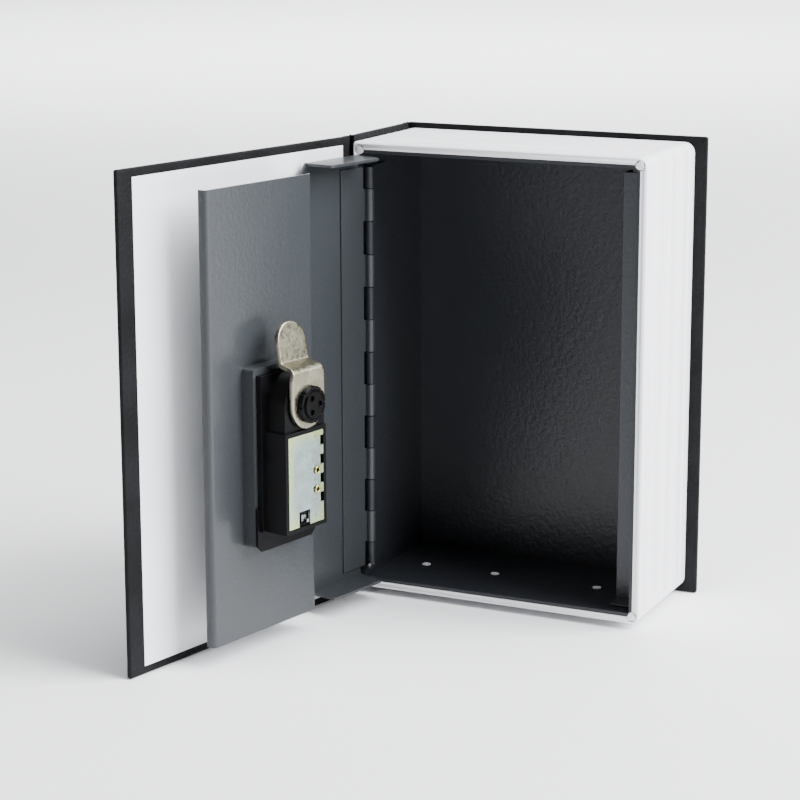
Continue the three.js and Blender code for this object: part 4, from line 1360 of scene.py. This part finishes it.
@dataclass(frozen=True)
class Viewpoint:
    """The photograph's camera: its place, its heading, how far it looks down, its tilt, and its lens."""

    place: tuple[float, float, float] = (0.33212, -0.82860, 0.27893)
    yaw: float = 0.4308
    pitch: float = -0.2109
    roll: float = 0.0013
    lens: float = 103.24
    sensor: float = 36
    shift: tuple[float, float] = (-0.05, -0.05)

    def build(self) -> None:
        """Adds the camera."""
        data = bpy.data.cameras.new("viewpoint")
        data.sensor_width = self.sensor
        data.lens = self.lens
        data.shift_x, data.shift_y = self.shift
        camera = placed("viewpoint", data)
        heading = Matrix.Rotation(self.yaw, 4, "Z") @ Matrix.Rotation(self.pitch + QUARTER_TURN, 4, "X")
        camera.matrix_world = Matrix.Translation(self.place) @ heading @ Matrix.Rotation(self.roll, 4, "Z")
        bpy.context.scene.camera = camera


@dataclass(frozen=True)
class Lamp:
    """A soft square light."""

    name: str
    place: tuple[float, float, float]
    size: float
    power: float
    aim: tuple[float, float, float] = (0, -0.04, 0.09)
    colour: str = "fafcff"

    def build(self) -> None:
        """Adds the light, turned towards its aim."""
        data = bpy.data.lights.new(self.name, "AREA")
        data.shape = "SQUARE"
        data.size = self.size
        data.energy = self.power
        data.color = linear(self.colour)[:3]
        lamp = placed(self.name, data)
        lamp.location = self.place
        lamp.rotation_euler = (Vector(self.aim) - Vector(self.place)).to_track_quat("-Z", "Y").to_euler()


@dataclass(frozen=True)
class Studio:
    """A pale floor that sweeps up into a backdrop, under wide soft lights."""

    lamps: Sequence[Lamp] = (
        Lamp("key", (1.85, 0.2, 1.45), 1.8, 190.0),
        Lamp("top", (0.5, 0.1, 2.2), 1.6, 80.0),
        Lamp("fill", (-0.75, -1.6, 0.6), 1.0, 3.0),
        Lamp("backdrop", (-1.2, 2.6, 2.2), 3.0, 300.0, (-2.2, 4.6, 0)),
    )
    reach: float = 8.0
    sweep_start: float = 3.5
    sweep_radius: float = 2.0
    wall: float = 5.0
    steps: int = 24
    drop: float = 0.0002
    sky: float = 0.15

    def build(self) -> None:
        """Adds the floor, the lights and the sky.

        The floor's profile runs straight back, up a quarter circle and up a wall, and is carried across.
        """
        turn = np.linspace(0, QUARTER_TURN, self.steps)
        y = np.concatenate(((-self.reach,), self.sweep_start + self.sweep_radius * np.sin(turn)))
        z = np.concatenate(((0,), self.sweep_radius * (1 - np.cos(turn)))) - self.drop
        y, z = np.append(y, y[-1]), np.append(z, self.wall)
        left = np.stack((np.full_like(y, -self.reach), y, z), axis=1)
        points = np.concatenate((left, left * (-1, 1, 1)))
        first = np.arange(len(y) - 1)
        faces = np.stack((first, first + len(y), first + len(y) + 1, first + 1), axis=1)
        mesh = bpy.data.meshes.new("floor")
        mesh.from_pydata(points.tolist(), [], faces.tolist())
        mesh.shade_smooth()
        mesh.materials.append(StudioFloor().build())
        placed("floor", mesh)
        for lamp in self.lamps:
            lamp.build()
        world = bpy.data.worlds.new("sky")
        world.use_nodes = True
        background = world.node_tree.nodes["Background"]
        background.inputs["Color"].default_value = (1, 1, 1, 1)
        background.inputs["Strength"].default_value = self.sky
        bpy.context.scene.world = world


def main() -> None:
    """Builds the scene."""
    logging.basicConfig(level=logging.INFO, format="%(message)s")
    for maker in (BookCase, PageBlock, CashBox, Door, Lock, Cam, Cap, Knob, Studio, Viewpoint):
        maker().build()
        LOG.info("%s built", maker.__name__)


if __name__ == "__main__":
    main()
